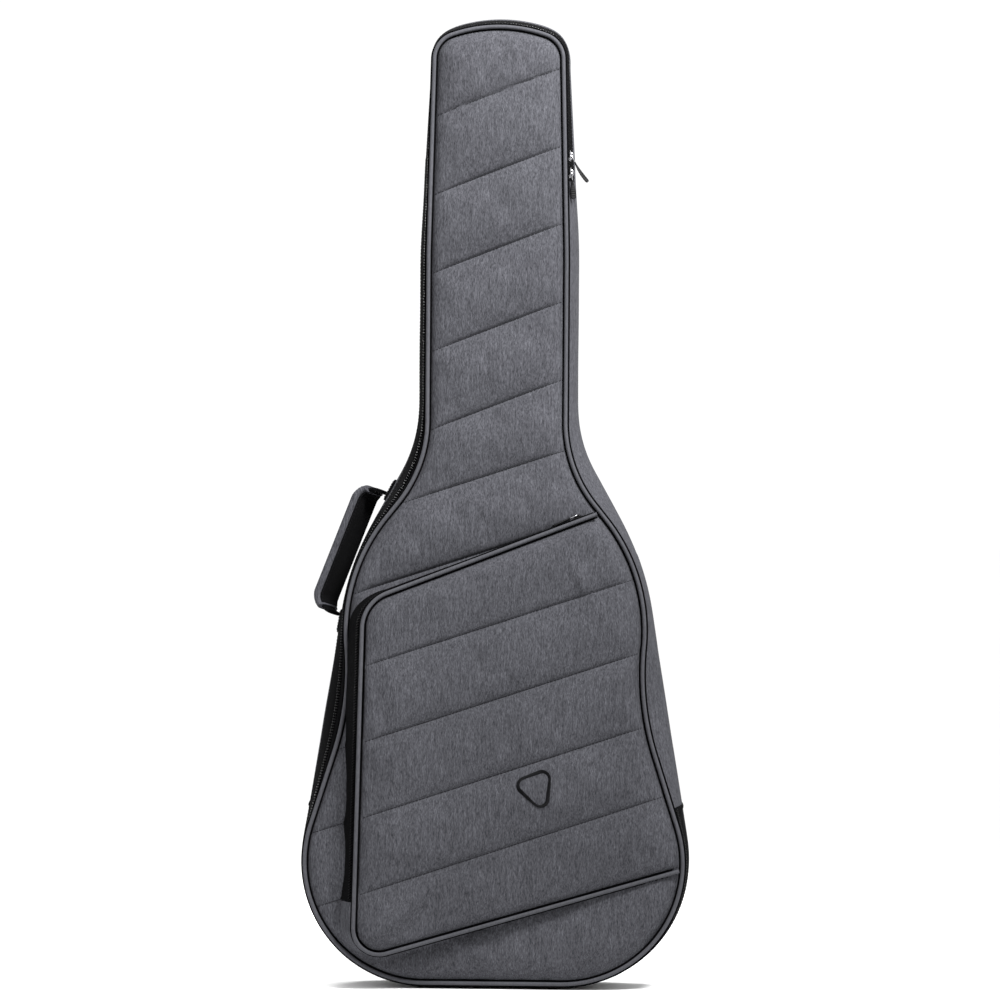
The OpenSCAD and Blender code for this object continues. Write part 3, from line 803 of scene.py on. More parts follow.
def cloth_relief(line, surface, lines, way, limit):
    """How padded cloth moves when it is blown up between its seams: a function of x and z.

    surface gives the sewn depth, way is -1 where the cloth faces the front, and no point moves
    more than limit.
    """
    low, high = line.min(0), line.max(0)
    xs = np.arange(low[0], high[0] + CLOTH_PITCH, CLOTH_PITCH)
    zs = np.arange(low[1], high[1] + CLOTH_PITCH, CLOTH_PITCH)
    field = np.zeros((len(zs), len(xs)))
    x, z = np.meshgrid(xs, zs)
    inside = polygon_holds(line, x, z)
    number = np.full(x.shape, -1)
    number[inside] = np.arange(inside.sum())
    quads = np.stack([number[:-1, :-1], number[:-1, 1:], number[1:, 1:], number[1:, :-1]], axis=-1)
    quads = quads.reshape(-1, 4)
    quads = quads[(quads >= 0).all(1)][:, ::-way]
    x, z = x[inside], z[inside]
    rest = xyz(x, surface(x, z), z)
    at_rim = np.bincount(quads.ravel(), minlength=len(rest)) < 4
    move = blown_up(rest, quads, at_rim | (np.minimum(*line_distances(x, z, lines)) <= SEWN_REACH))
    field[inside] = limit * np.tanh(move / limit)
    field = smoothed(field, 2)

    def at(px, pz):
        u = np.clip((px - xs[0]) / CLOTH_PITCH, 0, len(xs) - 1.001)
        v = np.clip((pz - zs[0]) / CLOTH_PITCH, 0, len(zs) - 1.001)
        i, j = u.astype(int), v.astype(int)
        u, v = u - i, v - j
        below = field[j, i] * (1 - u) + field[j, i + 1] * u
        above = field[j + 1, i] * (1 - u) + field[j + 1, i + 1] * u
        return below * (1 - v) + above * v

    return at


def cord(name, path, up, thick=2 * PIPING_R, **shape):
    """Piping along a path."""
    return sweep(name, path, up, thick, thick, PIPING, **shape)


def quilting(name, lines, edge, margin, start, count, surface, up):
    """Rows of stitches on the quilting lines, up to margin from a closed edge line."""
    rows = []
    for z0, turn in lines:
        x = np.linspace(start, 215, count)
        z = z0 + x * math.tan(math.radians(turn))
        held = polygon_holds(edge, x, z) & (edge_distance(x, z, edge) > margin)
        if held.sum() >= 10:
            rows.append(stitches(surface(x[held], z[held]), up))
    return joined(name, rows)


def panel_edging(binding_and_shade_name, binding, piping_name, piping_y, way, body, node):
    """The black binding and the piping round a panel that faces along Y the way given; the binding is
    partly painted shade, showing in the gaps beside the piping.
    """
    # The binding is black and shows as the dark lines on both sides of the piping: a seam's edge, widened
    # into painted shade for the gutters beside the piping
    face = np.stack([seam_line(out, y) for out, y in binding])
    made = shell(binding_and_shade_name, face, face - [0, BINDING_THICK * way, 0], BINDING_CLOTH_AND_SHADE, wrap=True)
    piece(made, body)
    made = cord(piping_name, seam_line(-1.5, piping_y), (0, way, 0), closed=True)
    piece(made, body, [node])


def quilted_fade(x, z, lines):
    """0 on a quilting line, 1 away from it."""
    above, below = line_distances(x, z, lines)
    return 1 - np.exp(-np.minimum(above, below) / 4.0)


# ---- Front lid ----
def make_lid():
    grid = panel_grid(PANEL_INSET, 116)
    x, z = grid[..., 0], grid[..., 1]
    relief = cloth_relief(PANEL_EDGE, front_surface, ALL_LINES, -1, 3.0)
    y = front_surface(x, z) + relief(x, z) * quilted_fade(x, z, ALL_LINES)
    # Behind the pocket the panel is pressed back
    behind = (z < pocket_edge(POCKET_TOP, x)) & (z > pocket_edge(POCKET_LOW, x)) & (x > 0)
    y = np.where(behind, np.maximum(y, to_row(x, 6.0, z)[..., 1]), y)
    panel = shell("lid_panel", lay(grid, y), lay(grid, LID_INNER), CLOTH)
    piece(panel, "lid", ["front_panel", "front_foam"])
    rows = quilting(
        "lid_quilting", ALL_LINES, PANEL_EDGE, QUILT_MARGIN, -215, 600,
        lambda x, z: xyz(x, front_surface(x, z) - STITCH_LIFT, z), (0, -1, 0),
    )
    piece(rows, "lid")
    grid = panel_grid(7.0, 60, 8.0)
    x, z = grid[..., 0], grid[..., 1]
    puff = 1.6 * (1 - np.exp(-edge_distance(x, z, PANEL_EDGE) / 12)) + channels(x, z, ALL_LINES, 1.2)
    deep = lay(grid, LID_INNER + 1.0 + np.maximum(puff, 0.1))
    piece(shell("lid_lining", lay(grid, LID_INNER + 0.2), deep, LINING), "lid", ["front_lining"])
    # The binding's outer part, past the piping, is painted shade for the gutter between the piping and the
    # gusset
    panel_edging(
        "lid_binding_and_painted_shade", ((2.5, FRONT + 3.4), (-8.5, FRONT + 2.6)),
        "lid_piping", FRONT + 1.0, -1, "lid", "front_piping",
    )


# ---- Gusset, zip and boot ----
GUSSET_FRONT = SEAM_Y + 0.4
GUSSET_REAR = BACK - 3.4
ZIP_REAR = -22.0
SIDE_THICK = 7.5
DIP_LOW, DIP_HIGH = 870.0, 1066.0


def bulge(y, facing_up):
    """Share of the overhang that the gusset has reached at depth y. The top rises more slowly."""
    t = (y - GUSSET_FRONT) / (GUSSET_REAR - GUSSET_FRONT)
    rise = np.sin(math.pi / 2 * np.clip((t - 0.03) / (0.39 + 0.26 * facing_up), 0, 1)) ** 0.95
    fall = np.sin(math.pi / 2 * np.clip((1 - t) / 0.2, 0, 1)) ** 0.8
    return rise * fall


def wall(index, depths, lift=0.0):
    """Points of the gusset's surface, a row for each depth and a column for each point of the seam."""
    p, n, w = SEAM[index % RING], SEAM_OUT[index % RING], OVERHANG[index % RING]
    y = np.asarray(depths, float)[:, None]
    # Beside the sliders the zip lies in a dip, which is shallower towards the top
    x, z = p.T
    beside = np.clip((z - DIP_LOW) / 26, 0, 1) * np.clip((DIP_HIGH - z) / 30, 0, 1) * (x > 20)
    dip = beside * (0.5 - 0.3 * np.clip((z - 935) / 75, 0, 1))
    round_out = bulge(y, np.clip(n[:, 1], 0, 1) ** 2)
    reached = round_out * (1 - dip * np.exp(-(((y - ZIP_LINE) / 13) ** 2)))
    loose = np.clip(w / 8, 0, 1) * (w > 7) * (z > 12) * round_out
    sag = 0.5 * ripple(y, z, 11, 110) * loose
    off = np.minimum(-0.6 + (w + 0.6) * reached + sag + lift, w + 0.3)
    return xyz(x + n[:, 0] * off, y, z + n[:, 1] * off)


def inward(index, depths, off):
    """The wall's points moved in by off."""
    return wall(index, depths) - SEAM_WAYS[index % RING] * off


def seam_index(z, side):
    """The seam's point at height z on the right or left side."""
    half = RING // 2
    k = np.arange(half) if side > 0 else RING - np.arange(half)
    return int(k[np.argmin(np.abs(SEAM[k % RING, 1] - z))])


LOW_RIGHT = seam_index(ZIP_LOW, 1)
HIGH_RIGHT = seam_index(ZIP_END, 1)
LOW_LEFT = seam_index(ZIP_LOW, -1)
WHOLE_RING = np.arange(RING)
ABOVE_BOOT = np.arange(HIGH_RIGHT, LOW_LEFT + 1)
BOOT_RUN = np.arange(LOW_LEFT, LOW_RIGHT + RING + 1)
HINGE_RUN = np.arange(LOW_RIGHT, HIGH_RIGHT + 1)
ZIP_RUN = np.arange(HIGH_RIGHT, LOW_RIGHT + RING + 1)


def make_gusset():
    rear = np.linspace(ZIP_REAR, GUSSET_REAR, 34)
    whole = GUSSET_FRONT + (GUSSET_REAR - GUSSET_FRONT) * np.array([0.0, *np.linspace(0.02, 1, 50)])

    def side(name, index, depths, thick, material):
        return shell(name, wall(index, depths), inward(index, depths, thick), material)

    made = side("gusset_wall", ABOVE_BOOT, rear, SIDE_THICK, CLOTH)
    piece(made, "body", ["gusset_left", "gusset_right"])
    made = side("base_boot_cloth", BOOT_RUN, rear, SIDE_THICK, BOOT)
    piece(made, "body", ["base_boot"])
    made = side("hinge_cloth", HINGE_RUN, whole, 1.6, CLOTH)
    bent_piece(made, ["hinge_strip"])
    edges = []
    for k, depths in ((LOW_LEFT, rear), (LOW_RIGHT, whole[3:])):
        path = wall(np.array([k]), depths, 0.3)[:, 0]
        edges.append(sweep("edge", path, SEAM_WAYS[k % RING], 5.0, 1.5, BINDING_CLOTH_AND_SHADE, power=3.0))
    piece(joined("boot_binding", edges), "body")


def make_gusset_inside():
    """The side's padding and lining, which stop behind the zip under a binding, and its stitching."""
    deep = np.linspace(ZIP_REAR + 0.5, GUSSET_REAR - 3, 20)
    near, far = inward(WHOLE_RING, deep, 8.0), inward(WHOLE_RING, deep, 9.6)
    piece(shell("gusset_lining_cloth", near, far, LINING, wrap=True), "body", ["gusset_lining"])
    deep = np.linspace(ZIP_REAR + 2, GUSSET_REAR - 2, 8)
    near, far = inward(HINGE_RUN, deep, 2.0), inward(HINGE_RUN, deep, 7.6)
    piece(shell("hinge_side_padding", near, far, LINING), "body", ["gusset_foam"])
    path = inward(WHOLE_RING, [ZIP_REAR], (0.8 + 9.8) / 2)[0] + [0, 1.0, 0]
    binding = sweep("gusset_binding", path, SEAM_WAYS, 3.4, 9.4, BINDING_CLOTH_AND_SHADE, closed=True, power=3.0)
    piece(binding, "body")
    rows = [
        stitches(wall(index, [ZIP_REAR + behind], 0.2)[0], (0, 0, 1))
        for index, behind in ((BOOT_RUN, 5.0), (ABOVE_BOOT, 4.0))
    ]
    piece(joined("gusset_stitching", rows), "body")


TAPE_THICK = 0.9
COIL_OFF = 1.25


def coil(name, line, out, second, pitch, size):
    """One half of a zip's coil: every second tooth along a line. out is the way the zip faces."""
    many = int(length_of(line) / (2 * pitch))
    teeth = resample(line, 2 * many)[second::2]
    facing_out = interpolated(np.linspace(0, 1, len(teeth)), np.linspace(0, 1, len(out)), out)
    across = np.broadcast_to([0.0, 1.0, 0.0], teeth.shape)
    return scatter(name, bead(*size), teeth, across, facing_out, COIL)


def make_zip():
    out = SEAM_WAYS[ZIP_RUN % RING]
    tapes = (
        ("lid", np.linspace(GUSSET_FRONT, ZIP_LINE - 0.4, 12), 0.3),
        ("body", np.linspace(ZIP_LINE + 0.4, ZIP_REAR + 1.5, 12), 0.5),
    )
    for side, depths, lift in tapes:
        # The tape's edge folds in under the coil
        fold = 1.2 * np.exp(-(((depths - ZIP_LINE) / 2.5) ** 2))[:, None, None]
        outer = wall(ZIP_RUN, depths, lift) - out * fold
        tape = shell(side + "_tape", outer, outer - out * TAPE_THICK, TAPE)
        piece(tape, side, [side + "_zip_tape"])
    for second, (side, way) in enumerate((("lid", -1), ("body", 1))):
        line = wall(ZIP_RUN, [ZIP_LINE + way * COIL_OFF], 0.2)[0]
        made = coil(side + "_coil", line, out, second, 1.55, (3.6, 1.5, 2.0))
        piece(made, side, [side + "_zip_coil"])
    line = wall(ZIP_RUN, [GUSSET_FRONT + 4.2], 0.5)[0]
    piece(stitches(line, (0, 0, 1), (3.5, 2.4, 0.5), "lid_tape_stitching"), "lid")


# ---- Pocket ----
def corner(p, v, q, r, inset, count=24):
    """A corner v between p and q, rounded with radius r, from p's side to q's."""
    p, v, q = (np.array(a, float) for a in (p, v, q))
    u, w = (p - v) / np.linalg.norm(p - v), (q - v) / np.linalg.norm(q - v)
    half = math.acos(u @ w) / 2
    b = (u + w) / np.linalg.norm(u + w)
    c = v + b * (r / math.sin(half))
    way = 1 if u[0] * w[1] > u[1] * w[0] else -1
    a = math.atan2(-b[1], -b[0]) - way * (math.pi / 2 - half) * np.linspace(-1, 1, count)
    return c + (r - inset) * np.stack([np.cos(a), np.sin(a)], axis=1)


def pocket_line(inset):
    """The pocket's free edge from its upper right end, round the left side, to its lower right end."""
    far = 250.0
    top, low = pocket_edge(POCKET_TOP, far), pocket_edge(POCKET_LOW, far)
    upper, lower = POCKET_TOP[:2], POCKET_LOW[:2]
    line = np.vstack([
        [(far, top - inset / math.cos(POCKET_TOP[2]))],
        corner((far, top), upper, lower, UPPER_CORNER_R, inset),
        corner(upper, lower, (far, low), LOWER_CORNER_R, inset),
        [(far, low + inset / math.cos(POCKET_LOW[2]))],
    ])
    line = resample(line, 4000)
    keep = np.flatnonzero(polygon_holds(PANEL_EDGE, line[:, 0], line[:, 1]))
    return line[keep[0] : keep[-1] + 1]


def fold_band(lid_side=8.0, flap_side=44.0):
    """Two points either side of the pocket's fold, the lid's side first."""
    a, b = np.array(FOLD_LOW), np.array(FOLD_TOP)
    along = (b - a) / np.linalg.norm(b - a)
    across = np.array([-along[1], along[0]])
    ends = [(a + b) / 2 - across * lid_side, (a + b) / 2 + across * flap_side]
    return [tuple(to_row(x, 0.0, z)) for x, z in ends]


FLAP_BAND = fold_band()


def folding_piece(obj, replaces=()):
    """A finished object across the pocket's fold, whose place is baked into its mesh."""
    bent_piece(obj, replaces)


def seam_drop(p):
    """How far the pocket's edge binding, which is partly painted shadow, goes down where it runs into the
    main seam.
    """
    x, z = p[:, 0], p[:, 1]
    return (pocket_depth(x, SEAM_Y) - 2.0) * np.exp(-edge_distance(x, z, PANEL_EDGE) / 6)


POCKET_STEPS = 620
DEEPEST_WALL = 32.0
WALL_THICK = 1.3
POCKET_FREE = pocket_line(6.0)
POCKET_FREE_LOOP = np.vstack([POCKET_FREE, POCKET_FREE[::-1][1:-1]])


def pocket_surface(x, z):
    """Local depth of the pocket's sewn shape."""
    free, seam = edge_distance(x, z, POCKET_FREE_LOOP), edge_distance(x, z, PANEL_EDGE)
    soft = (1 - np.exp(-free / 14)) * (1 - np.exp(-seam / 14))
    made = 3.0 * np.exp(-free / 4.0) - 2.2 * (1 - np.exp(-free / 40)) * (1 - np.exp(-seam / 30))
    made = made - channels(x, z, POCKET_LINES, 4.6) * soft
    made = made - (1.4 * ripple(x, z, 8, 180) + 0.4 * ripple(x, z, 9, 50)) * soft
    dent = np.exp(-(((x + 95) / 40) ** 2) - ((z - 392) / 26) ** 2)
    made = made + (2.6 * dent - creases(x, z, POCKET_CREASES)) * soft
    return made + (pocket_depth(x, SEAM_Y) - made) * np.exp(-seam / 5.0)


def pocket_grid():
    """The pocket's grid of x and z, and its closed outline."""
    free = POCKET_FREE
    along = along_path(free)
    angle = np.degrees(np.unwrap(np.arctan2(along[:, 1], along[:, 0])))
    turn = np.abs(angle - angle[0])
    # The free edge turns through the upper left corner, then the lower left one
    upper, lower = (int(np.argmax(turn > turn[-1] * share)) for share in (0.33, 0.8))
    seam = PANEL_EDGE[nearest(PANEL_EDGE, free[-1]) + 1 : nearest(PANEL_EDGE, free[0])]
    right = np.vstack([free[-1:], seam, free[:1]])

    def rim(line):
        """The part of a line between a point on the pocket's left and one on the main seam."""
        return lambda p, q: np.vstack([[p], line[nearest(line, p) + 1 : nearest(line, q)], [q]])

    bottom, top = rim(np.vstack([free, right])), rim(np.vstack([free[::-1], right[::-1]]))
    grid = quilted_grid(free[upper : lower + 1][::-1], right, bottom, top, POCKET_LINES, 120, 3.4)
    return grid, resample(np.vstack([free, seam]), 1600, closed=True)


def make_pocket():
    grid, loop = pocket_grid()
    relief = cloth_relief(loop, pocket_surface, POCKET_LINES, -1, 2.6)

    def cloth_depth(x, z):
        """Local depth of the pocket's cloth, blown up."""
        return pocket_surface(x, z) + relief(x, z) * quilted_fade(x, z, POCKET_LINES)

    x, z = grid[..., 0], grid[..., 1]
    y = cloth_depth(x, z)
    folding_piece(
        shell("pocket_front", to_row(x, y, z), to_row(x, y + POCKET_THICK, z), CLOTH),
        ["pocket_panel", "pocket_foam", "flap_panel", "flap_foam"],
    )
    rows = quilting(
        "pocket_quilting", POCKET_LINES, loop, 3, -200, 500,
        lambda x, z: to_row(x, cloth_depth(x, z) - STITCH_LIFT, z), (0, -1, 0),
    )
    folding_piece(rows)
    # Piping round the free edge, with a dark seam on its inner side; the same black binding reaches past
    # the piping's outer side as a painted shadow under the pocket's edge
    line = resample(pocket_line(1.5), POCKET_STEPS)
    path = to_row(line[:, 0], 1.0, line[:, 1])
    piping = cord("pocket_edge_piping", path, (0, -1, 0))
    folding_piece(piping, ["pocket_piping", "flap_piping"])
    # The binding runs from past the piping's outer side, where it is painted shadow, to inside it
    sides = [resample(pocket_line(inset), POCKET_STEPS) for inset in (-2.0, 8.0)]
    face = np.stack([to_row(p[:, 0], POCKET_THICK + seam_drop(p), p[:, 1]) for p in sides])
    folding_piece(shell("pocket_binding_and_painted_shadow", face, face + [0, 1.0, 0], BINDING_CLOTH_AND_SHADE))
    make_pocket_wall()
    make_motif(cloth_depth)


def make_pocket_wall():
    """The zip and the side wall behind the pocket's free edge."""
    edge = resample(pocket_line(0), POCKET_STEPS)
    out = along_path(edge)[:, ::-1] * [1, -1]
    out *= np.sign((out * (edge - [0, 260])).sum(1).mean())
    ways = xyz(out[:, 0], 0, out[:, 1])
    low_end = int(np.argmax((edge[:, 0] < -100) & (edge[:, 1] < FOLD_LOW[1])))
    top_end = max(4, int(np.argmax(edge[:, 0] < FOLD_TOP[0])))
    # Local depth of the front panel under the edge, and how far the wall leans out on its way there
    beside = edge[:, 0] - 8
    full = np.minimum(pocket_depth(beside, front_surface(beside, edge[:, 1])), DEEPEST_WALL)
    lean = (3.0 + 12.0 * np.clip(-out[:, 0], 0, 1) ** 2) * np.clip(full / 30, 0, 1)

    def side(index, start, stop, steps, lift=0.0):
        """A strip of the wall between two local depths, down to the panel's surface at the most."""
        deep = full[index] + 1.0
        y = start + (np.minimum(stop, deep) - start) * np.linspace(0, 1, steps)[:, None]
        o = lean[index] * np.clip((y - 3.5) / np.maximum(deep - 3.5, 1), 0, 1) ** 0.8 + lift - 0.6
        return to_row(edge[index, 0] + out[index, 0] * o, y, edge[index, 1] + out[index, 1] * o)

    def finished(made, folds, nodes):
        if folds:
            folding_piece(made, nodes)
        else:
            piece(made, "lid", nodes)

    tail, zipped = np.arange(top_end + 1), np.arange(top_end, low_end)
    cloth = np.arange(low_end, POCKET_STEPS)
    thick, down = POCKET_THICK, math.inf
    strips = [
        ("flap_tape", zipped, thick, 7.2, 5, TAPE, True, "zip_tape", ["flap_zip_tape"]),
        ("pocket_tape", zipped, 9.8, down, 12, TAPE, False, "zip_tape", ["pocket_zip_tape"]),
        ("pocket_wall", cloth, thick, down, 10, CLOTH, False, "heather_cloth", ["pocket_gusset"]),
        ("pocket_top_end", tail, thick, down, 8, TAPE, False, "zip_tape", []),
    ]
    for name, index, start, stop, steps, material, folds, slot, nodes in strips:
        grid = side(index, start, stop, steps)
        finished(shell(name, grid, grid - ways[index] * WALL_THICK, material), folds, nodes)
    for second, (name, depth) in enumerate((("flap", 7.4), ("pocket", 9.4))):
        line = side(zipped, depth, depth + 0.01, 2, 0.6)[0]
        made = coil(name + "_coil", line, ways[zipped], second, 1.5, (3.0, 1.4, 1.8))
        finished(made, name == "flap", [name + "_zip_coil"])


def make_motif(cloth_depth):
    """A plectrum outline in satin stitch."""
    size, band = 26.0, 3.4
    turn = POCKET_TOP[2]
    tip = [(-size, size), (size, size), (0, -size)]
    spin = np.array([[math.cos(turn), math.sin(turn)], [-math.sin(turn), math.cos(turn)]])

    def rim(inset):
        line = np.vstack([corner(tip[i - 1], tip[i], tip[(i + 1) % 3], 10, inset) for i in range(3)])
        return resample(line, 360, closed=True) @ spin + [50.0, 216.0]

    outer, inner = rim(0), rim(band)
    x, z = ((outer + inner) / 2).T
    origin = to_row(x, cloth_depth(x, z) - 0.45, z)
    across = xyz((inner - outer)[:, 0], 0, (inner - outer)[:, 1])
    across += np.roll(along_path(origin, closed=True), 1, axis=0) * 0.6
    up = np.broadcast_to([0.0, -1.0, 0.0], origin.shape)
    made = scatter("plectrum_motif", bead(band + 0.8, 0.75, 1.2), origin, across, up, MOTIF)
    piece(made, "lid", ["pocket_motif"])


# ---- Back ----
def back_surface(x, z):
    """Depth of the back panel's sewn shape."""
    d = edge_distance(x, z, PANEL_EDGE)
    soft = 1 - np.exp(-d / 14)
    padded = channels(x, z, ALL_LINES, 3.6) + 0.8 * ripple(x, z, 21, 120)
    return BACK - 3.6 + 2.6 * (1 - np.exp(-d / 5)) + padded * soft


def make_back():
    grid = panel_grid(PANEL_INSET, 96)
    x, z = grid[..., 0], grid[..., 1]
    relief = cloth_relief(PANEL_EDGE, back_surface, ALL_LINES, 1, 2.0)
    y = back_surface(x, z) + relief(x, z) * quilted_fade(x, z, ALL_LINES)
    panel = shell("back_padding", lay(grid, y), lay(grid, BACK_INNER), CLOTH)
    piece(panel, "body", ["back_panel", "back_foam"])
    rows = quilting(
        "back_quilting", ALL_LINES, PANEL_EDGE, QUILT_MARGIN, -215, 500,
        lambda x, z: xyz(x, back_surface(x, z) + STITCH_LIFT, z), (0, 1, 0),
    )
    piece(rows, "body")
    inset = 13.5
    grid = panel_grid(inset, 50, 10.0)
    d = edge_distance(grid[..., 0], grid[..., 1], outline(PANEL_BENDS, inset, EDGE_POINTS)[0])
    near = lay(grid, BACK_INNER - 0.8 - 1.4 * (1 - np.exp(-d / 10)))
    lining = shell("back_lining_cloth", lay(grid, BACK_INNER - 0.6), near, LINING)
    piece(lining, "body", ["back_lining"])
    # The binding's inner part shows in the gap beside the piping as painted shade
    panel_edging(
        "back_binding_and_painted_shade", ((0.4, BACK - 4.2), (-14, BACK - 4.6)),
        "back_edge_piping", BACK - 1.6, 1, "body", "back_piping",
    )


def node_box(node):
    """The two corners of a CAD node's box."""
    low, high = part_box(node)
    return np.array(low) / MM, np.array(high) / MM


def make_inside():
    for node in ("end_pad", "head_pad"):
        low, high = node_box(node)
        piece(rounded_box(node + "_cushion", low, high, LINING), "body", [node])
    # The neck cradle is a block with a round notch for the neck
    low, high = node_box("neck_cradle")
    half, depth = (high[0] - low[0]) / 2, high[1] - low[1]
    a = np.linspace(math.radians(38), math.radians(142), 24)
    notch = np.stack([34 * np.cos(a), low[1] - 14 + 34 * np.sin(a)], axis=1)
    right = np.array([
        (half - 5, low[1] + 1), (half - 1, low[1] + 5), (half, high[1] - depth / 2), (half, high[1]),
    ])
    profile = resample(np.vstack([right, right[::-1] * [-1, 1], notch[::-1]]), 120, closed=True)
    middle = np.array([0, (low[1] + high[1]) / 2])
    rings = []
    for t in np.linspace(0, 1, 15):
        flat = middle + (profile - middle) * [1 - 0.10 * abs(2 * t - 1) ** 6, 1]
        rings.append(xyz(flat[:, 0], flat[:, 1], low[2] + (high[2] - low[2]) * t))
    verts = np.concatenate(rings)
    cradle = add_mesh("neck_cradle_cushion", verts, tube_faces(verts, len(rings), 120), LINING)
    piece(cradle, "body", ["neck_cradle"])


# ---- Handle ----
HANDLE_HIGH = np.array([-118.5, 551.5])
HANDLE_SPAN = 157.0
HANDLE_WAY = np.array([-56.0, -144.0]) / math.hypot(56, 144)
HANDLE_LOW = HANDLE_HIGH + HANDLE_WAY * HANDLE_SPAN
HANDLE_ANGLE = math.atan2(HANDLE_HIGH[0] - HANDLE_LOW[0], HANDLE_HIGH[1] - HANDLE_LOW[1])
HANDLE_Y = (FRONT + BACK) / 2 + 6
HANDLE_OFF = 9.0
HANDLE_TURN = math.radians(-31)


def handle_matrix():
    """From the handle's frame, along +Z and off towards -X, to the row frame."""
    off = Vector((-math.cos(HANDLE_ANGLE), 0, math.sin(HANDLE_ANGLE))) * HANDLE_OFF
    at = Matrix.Translation(Vector((HANDLE_LOW[0], HANDLE_Y, HANDLE_LOW[1])) + off)
    return at @ Matrix.Rotation(HANDLE_ANGLE, 4, "Y") @ Matrix.Rotation(HANDLE_TURN, 4, "Z")


def handle_line():
    """The handle's middle line in its own frame, from its low end to its high end."""
    bend, stand, inset = 23.5, 2.5, 5.0
    a = np.radians(np.linspace(0, 90, 20))
    x, z = -stand - (bend - inset) * np.sin(a), bend - (bend - inset) * np.cos(a)
    line = np.vstack([
        [(-1.5, inset)], np.stack([x, z], axis=1), np.stack([x, HANDLE_SPAN - z], axis=1)[::-1],
        [(-1.5, HANDLE_SPAN - inset)],
    ])
    line = resample(line, 120)
    return xyz(line[:, 0], 0, line[:, 1])


def make_handle():
    matrix = handle_matrix()
    line = handle_line()
    path = moved(line, matrix)
    side = turned([0.0, 1.0, 0.0], matrix)
    out = turned(np.cross(along_path(line), [0.0, 1.0, 0.0]), matrix)
    s = np.linspace(0, 1, len(path))
    taper = np.clip(np.minimum(s, 1 - s) / 0.16, 0, 1)[:, None] ** 0.7
    sewn = slice(12, -12)
    k, full = slice(8, -8), taper[8:-8, 0]
    wide, thick = 30 + 12 * full, 5.0 + 6.0 * full
    cover = sweep("handle_grip", path[k], out[k], wide, thick, CLOTH, sides=28, power=3.4)
    piece(cover, "handle", ["handle_cover", "handle_foam"])
    under = path - out * (2.2 + 3.0 * taper)
    k, wide = slice(10, -10), 25 + 11.5 * taper[10:-10, 0]
    liner = sweep("handle_inner_face", under[k], out[k], wide, 1.8, WEBBING, sides=20, power=4.0)
    piece(liner, "handle", ["handle_lining"])
    rows = []
    for w in (-1, 1):
        inner = path + side * w * (11.5 + 5 * taper) - out * (3.2 + 3.0 * taper)
        outer = path + side * w * (10.5 + 6 * taper) + out * (2.3 + 3.0 * taper)
        rows += [stitches(edge[sewn], out[12], FINE_STITCH) for edge in (inner, outer)]
    piece(joined("handle_stitching", rows), "handle")
    tabs = [
        sweep("tab", path[k] - out[k] * 0.8, out[k], 24.0, 4.6, WEBBING, sides=16, power=4.0)
        for k in (slice(0, 24), slice(-24, None))
    ]
    piece(joined("handle_webbing", tabs), "handle", ["handle_tabs"])


def make_handle_anchors():
    """The patches on the gusset that hold the handle's ends, sewn with a boxed cross."""
    patches, rows = [], []
    for at, bend in ((HANDLE_LOW, 0), (HANDLE_HIGH, 1)):
        x, face = straight(GUSSET_BENDS, bend, at[1])
        matrix = Matrix.Translation((-x, HANDLE_Y, at[1])) @ Matrix.Rotation(face, 4, "Y")
        patches.append(rounded_box("patch", (-2.4, -15, -13), (0.8, 15, 13), WEBBING, 9.0, 7, matrix))
        cross = np.array([(-2.7, y, z) for y, z in crossed_box(24, 20)])
        out = turned([-1, 0, 0], matrix)
        rows.append(stitches(moved(cross, matrix), out, CROSS_STITCH))
    piece(joined("handle_anchor_patches", patches), "body", ["handle_anchors"])
    piece(joined("handle_anchor_stitching", rows), "body")


# ---- Shoulder straps ----
STRAP_HIGH = np.array([45.0, 640.0])
STRAP_LOW = np.array([150.0, 152.0])
STRAP_LENGTH = float(np.linalg.norm(STRAP_LOW - STRAP_HIGH))
STRAP_LEAN = math.atan2(STRAP_LOW[0] - STRAP_HIGH[0], STRAP_HIGH[1] - STRAP_LOW[1])
PAD_FROM, PAD_TO = 46.0, 330.0


def strap_height(s):
    """How far a strap stands off the back, s along it from its upper end."""
    return 6.5 + 16.5 * np.sin(math.pi * s / STRAP_LENGTH)


def make_strap(name, side):
    body = name + "_strap"
    at = Matrix.Translation((side * STRAP_HIGH[0], BACK + 1, STRAP_HIGH[1]))
    matrix = at @ Matrix.Rotation(-side * STRAP_LEAN, 4, "Y")
    up = (0, 1, 0)

    def along(s, lift, x=0.0):
        """Points at distances s along the strap."""
        return moved(xyz(x, strap_height(s) + lift, -s), matrix)

    s = np.linspace(PAD_FROM, PAD_TO, 90)
    end = np.minimum(s - PAD_FROM, PAD_TO - s)
    shape = np.sqrt(np.clip(1 - (1 - np.clip(end / 31, 0, 1)) ** 2, 0.004, 1))
    width, thick = 62 * shape, 3.0 + 5.0 * np.clip(shape * 1.2, 0, 1)
    pad = sweep(body + "_cushion", along(s, 4.0), up, width, thick, CLOTH, sides=32, power=3.0)
    piece(pad, body, [body + "_pad"])
    left, right = (along(s, 4.0, way * (width / 2 - 0.6)) for way in (-1, 1))
    loop = resample(np.vstack([left, right[::-1]]), 260, closed=True)
    piping = cord(body + "_piping", loop, up, 4.2, sides=8, closed=True)
    piece(piping, body)
    # One band runs over the pad, one below it and one above it
    over = np.linspace(PAD_FROM - 34, PAD_TO - 10, 70)
    climb = 6.7 * np.clip((over - PAD_FROM) / 18, 0, 1)
    lines = (
        (along(over, 1.6 + climb), 1.6),
        (along(np.linspace(PAD_TO + 2, STRAP_LENGTH - 2, 60), 1.0), 1.8),
        (along(np.linspace(2, PAD_FROM + 6, 20), 1.0), 2.0),
    )
    bands = [sweep("band", line, up, 25, thick, WEBBING, sides=16, power=6.0) for line, thick in lines]
    piece(joined(body + "_bands", bands), body, [body + "_webbing"])
    rows = [stitches(along(over, 2.6 + climb, x)[6:], up, FINE_STITCH) for x in (-10.8, 10.8)]
    piece(joined(body + "_stitching", rows), body)


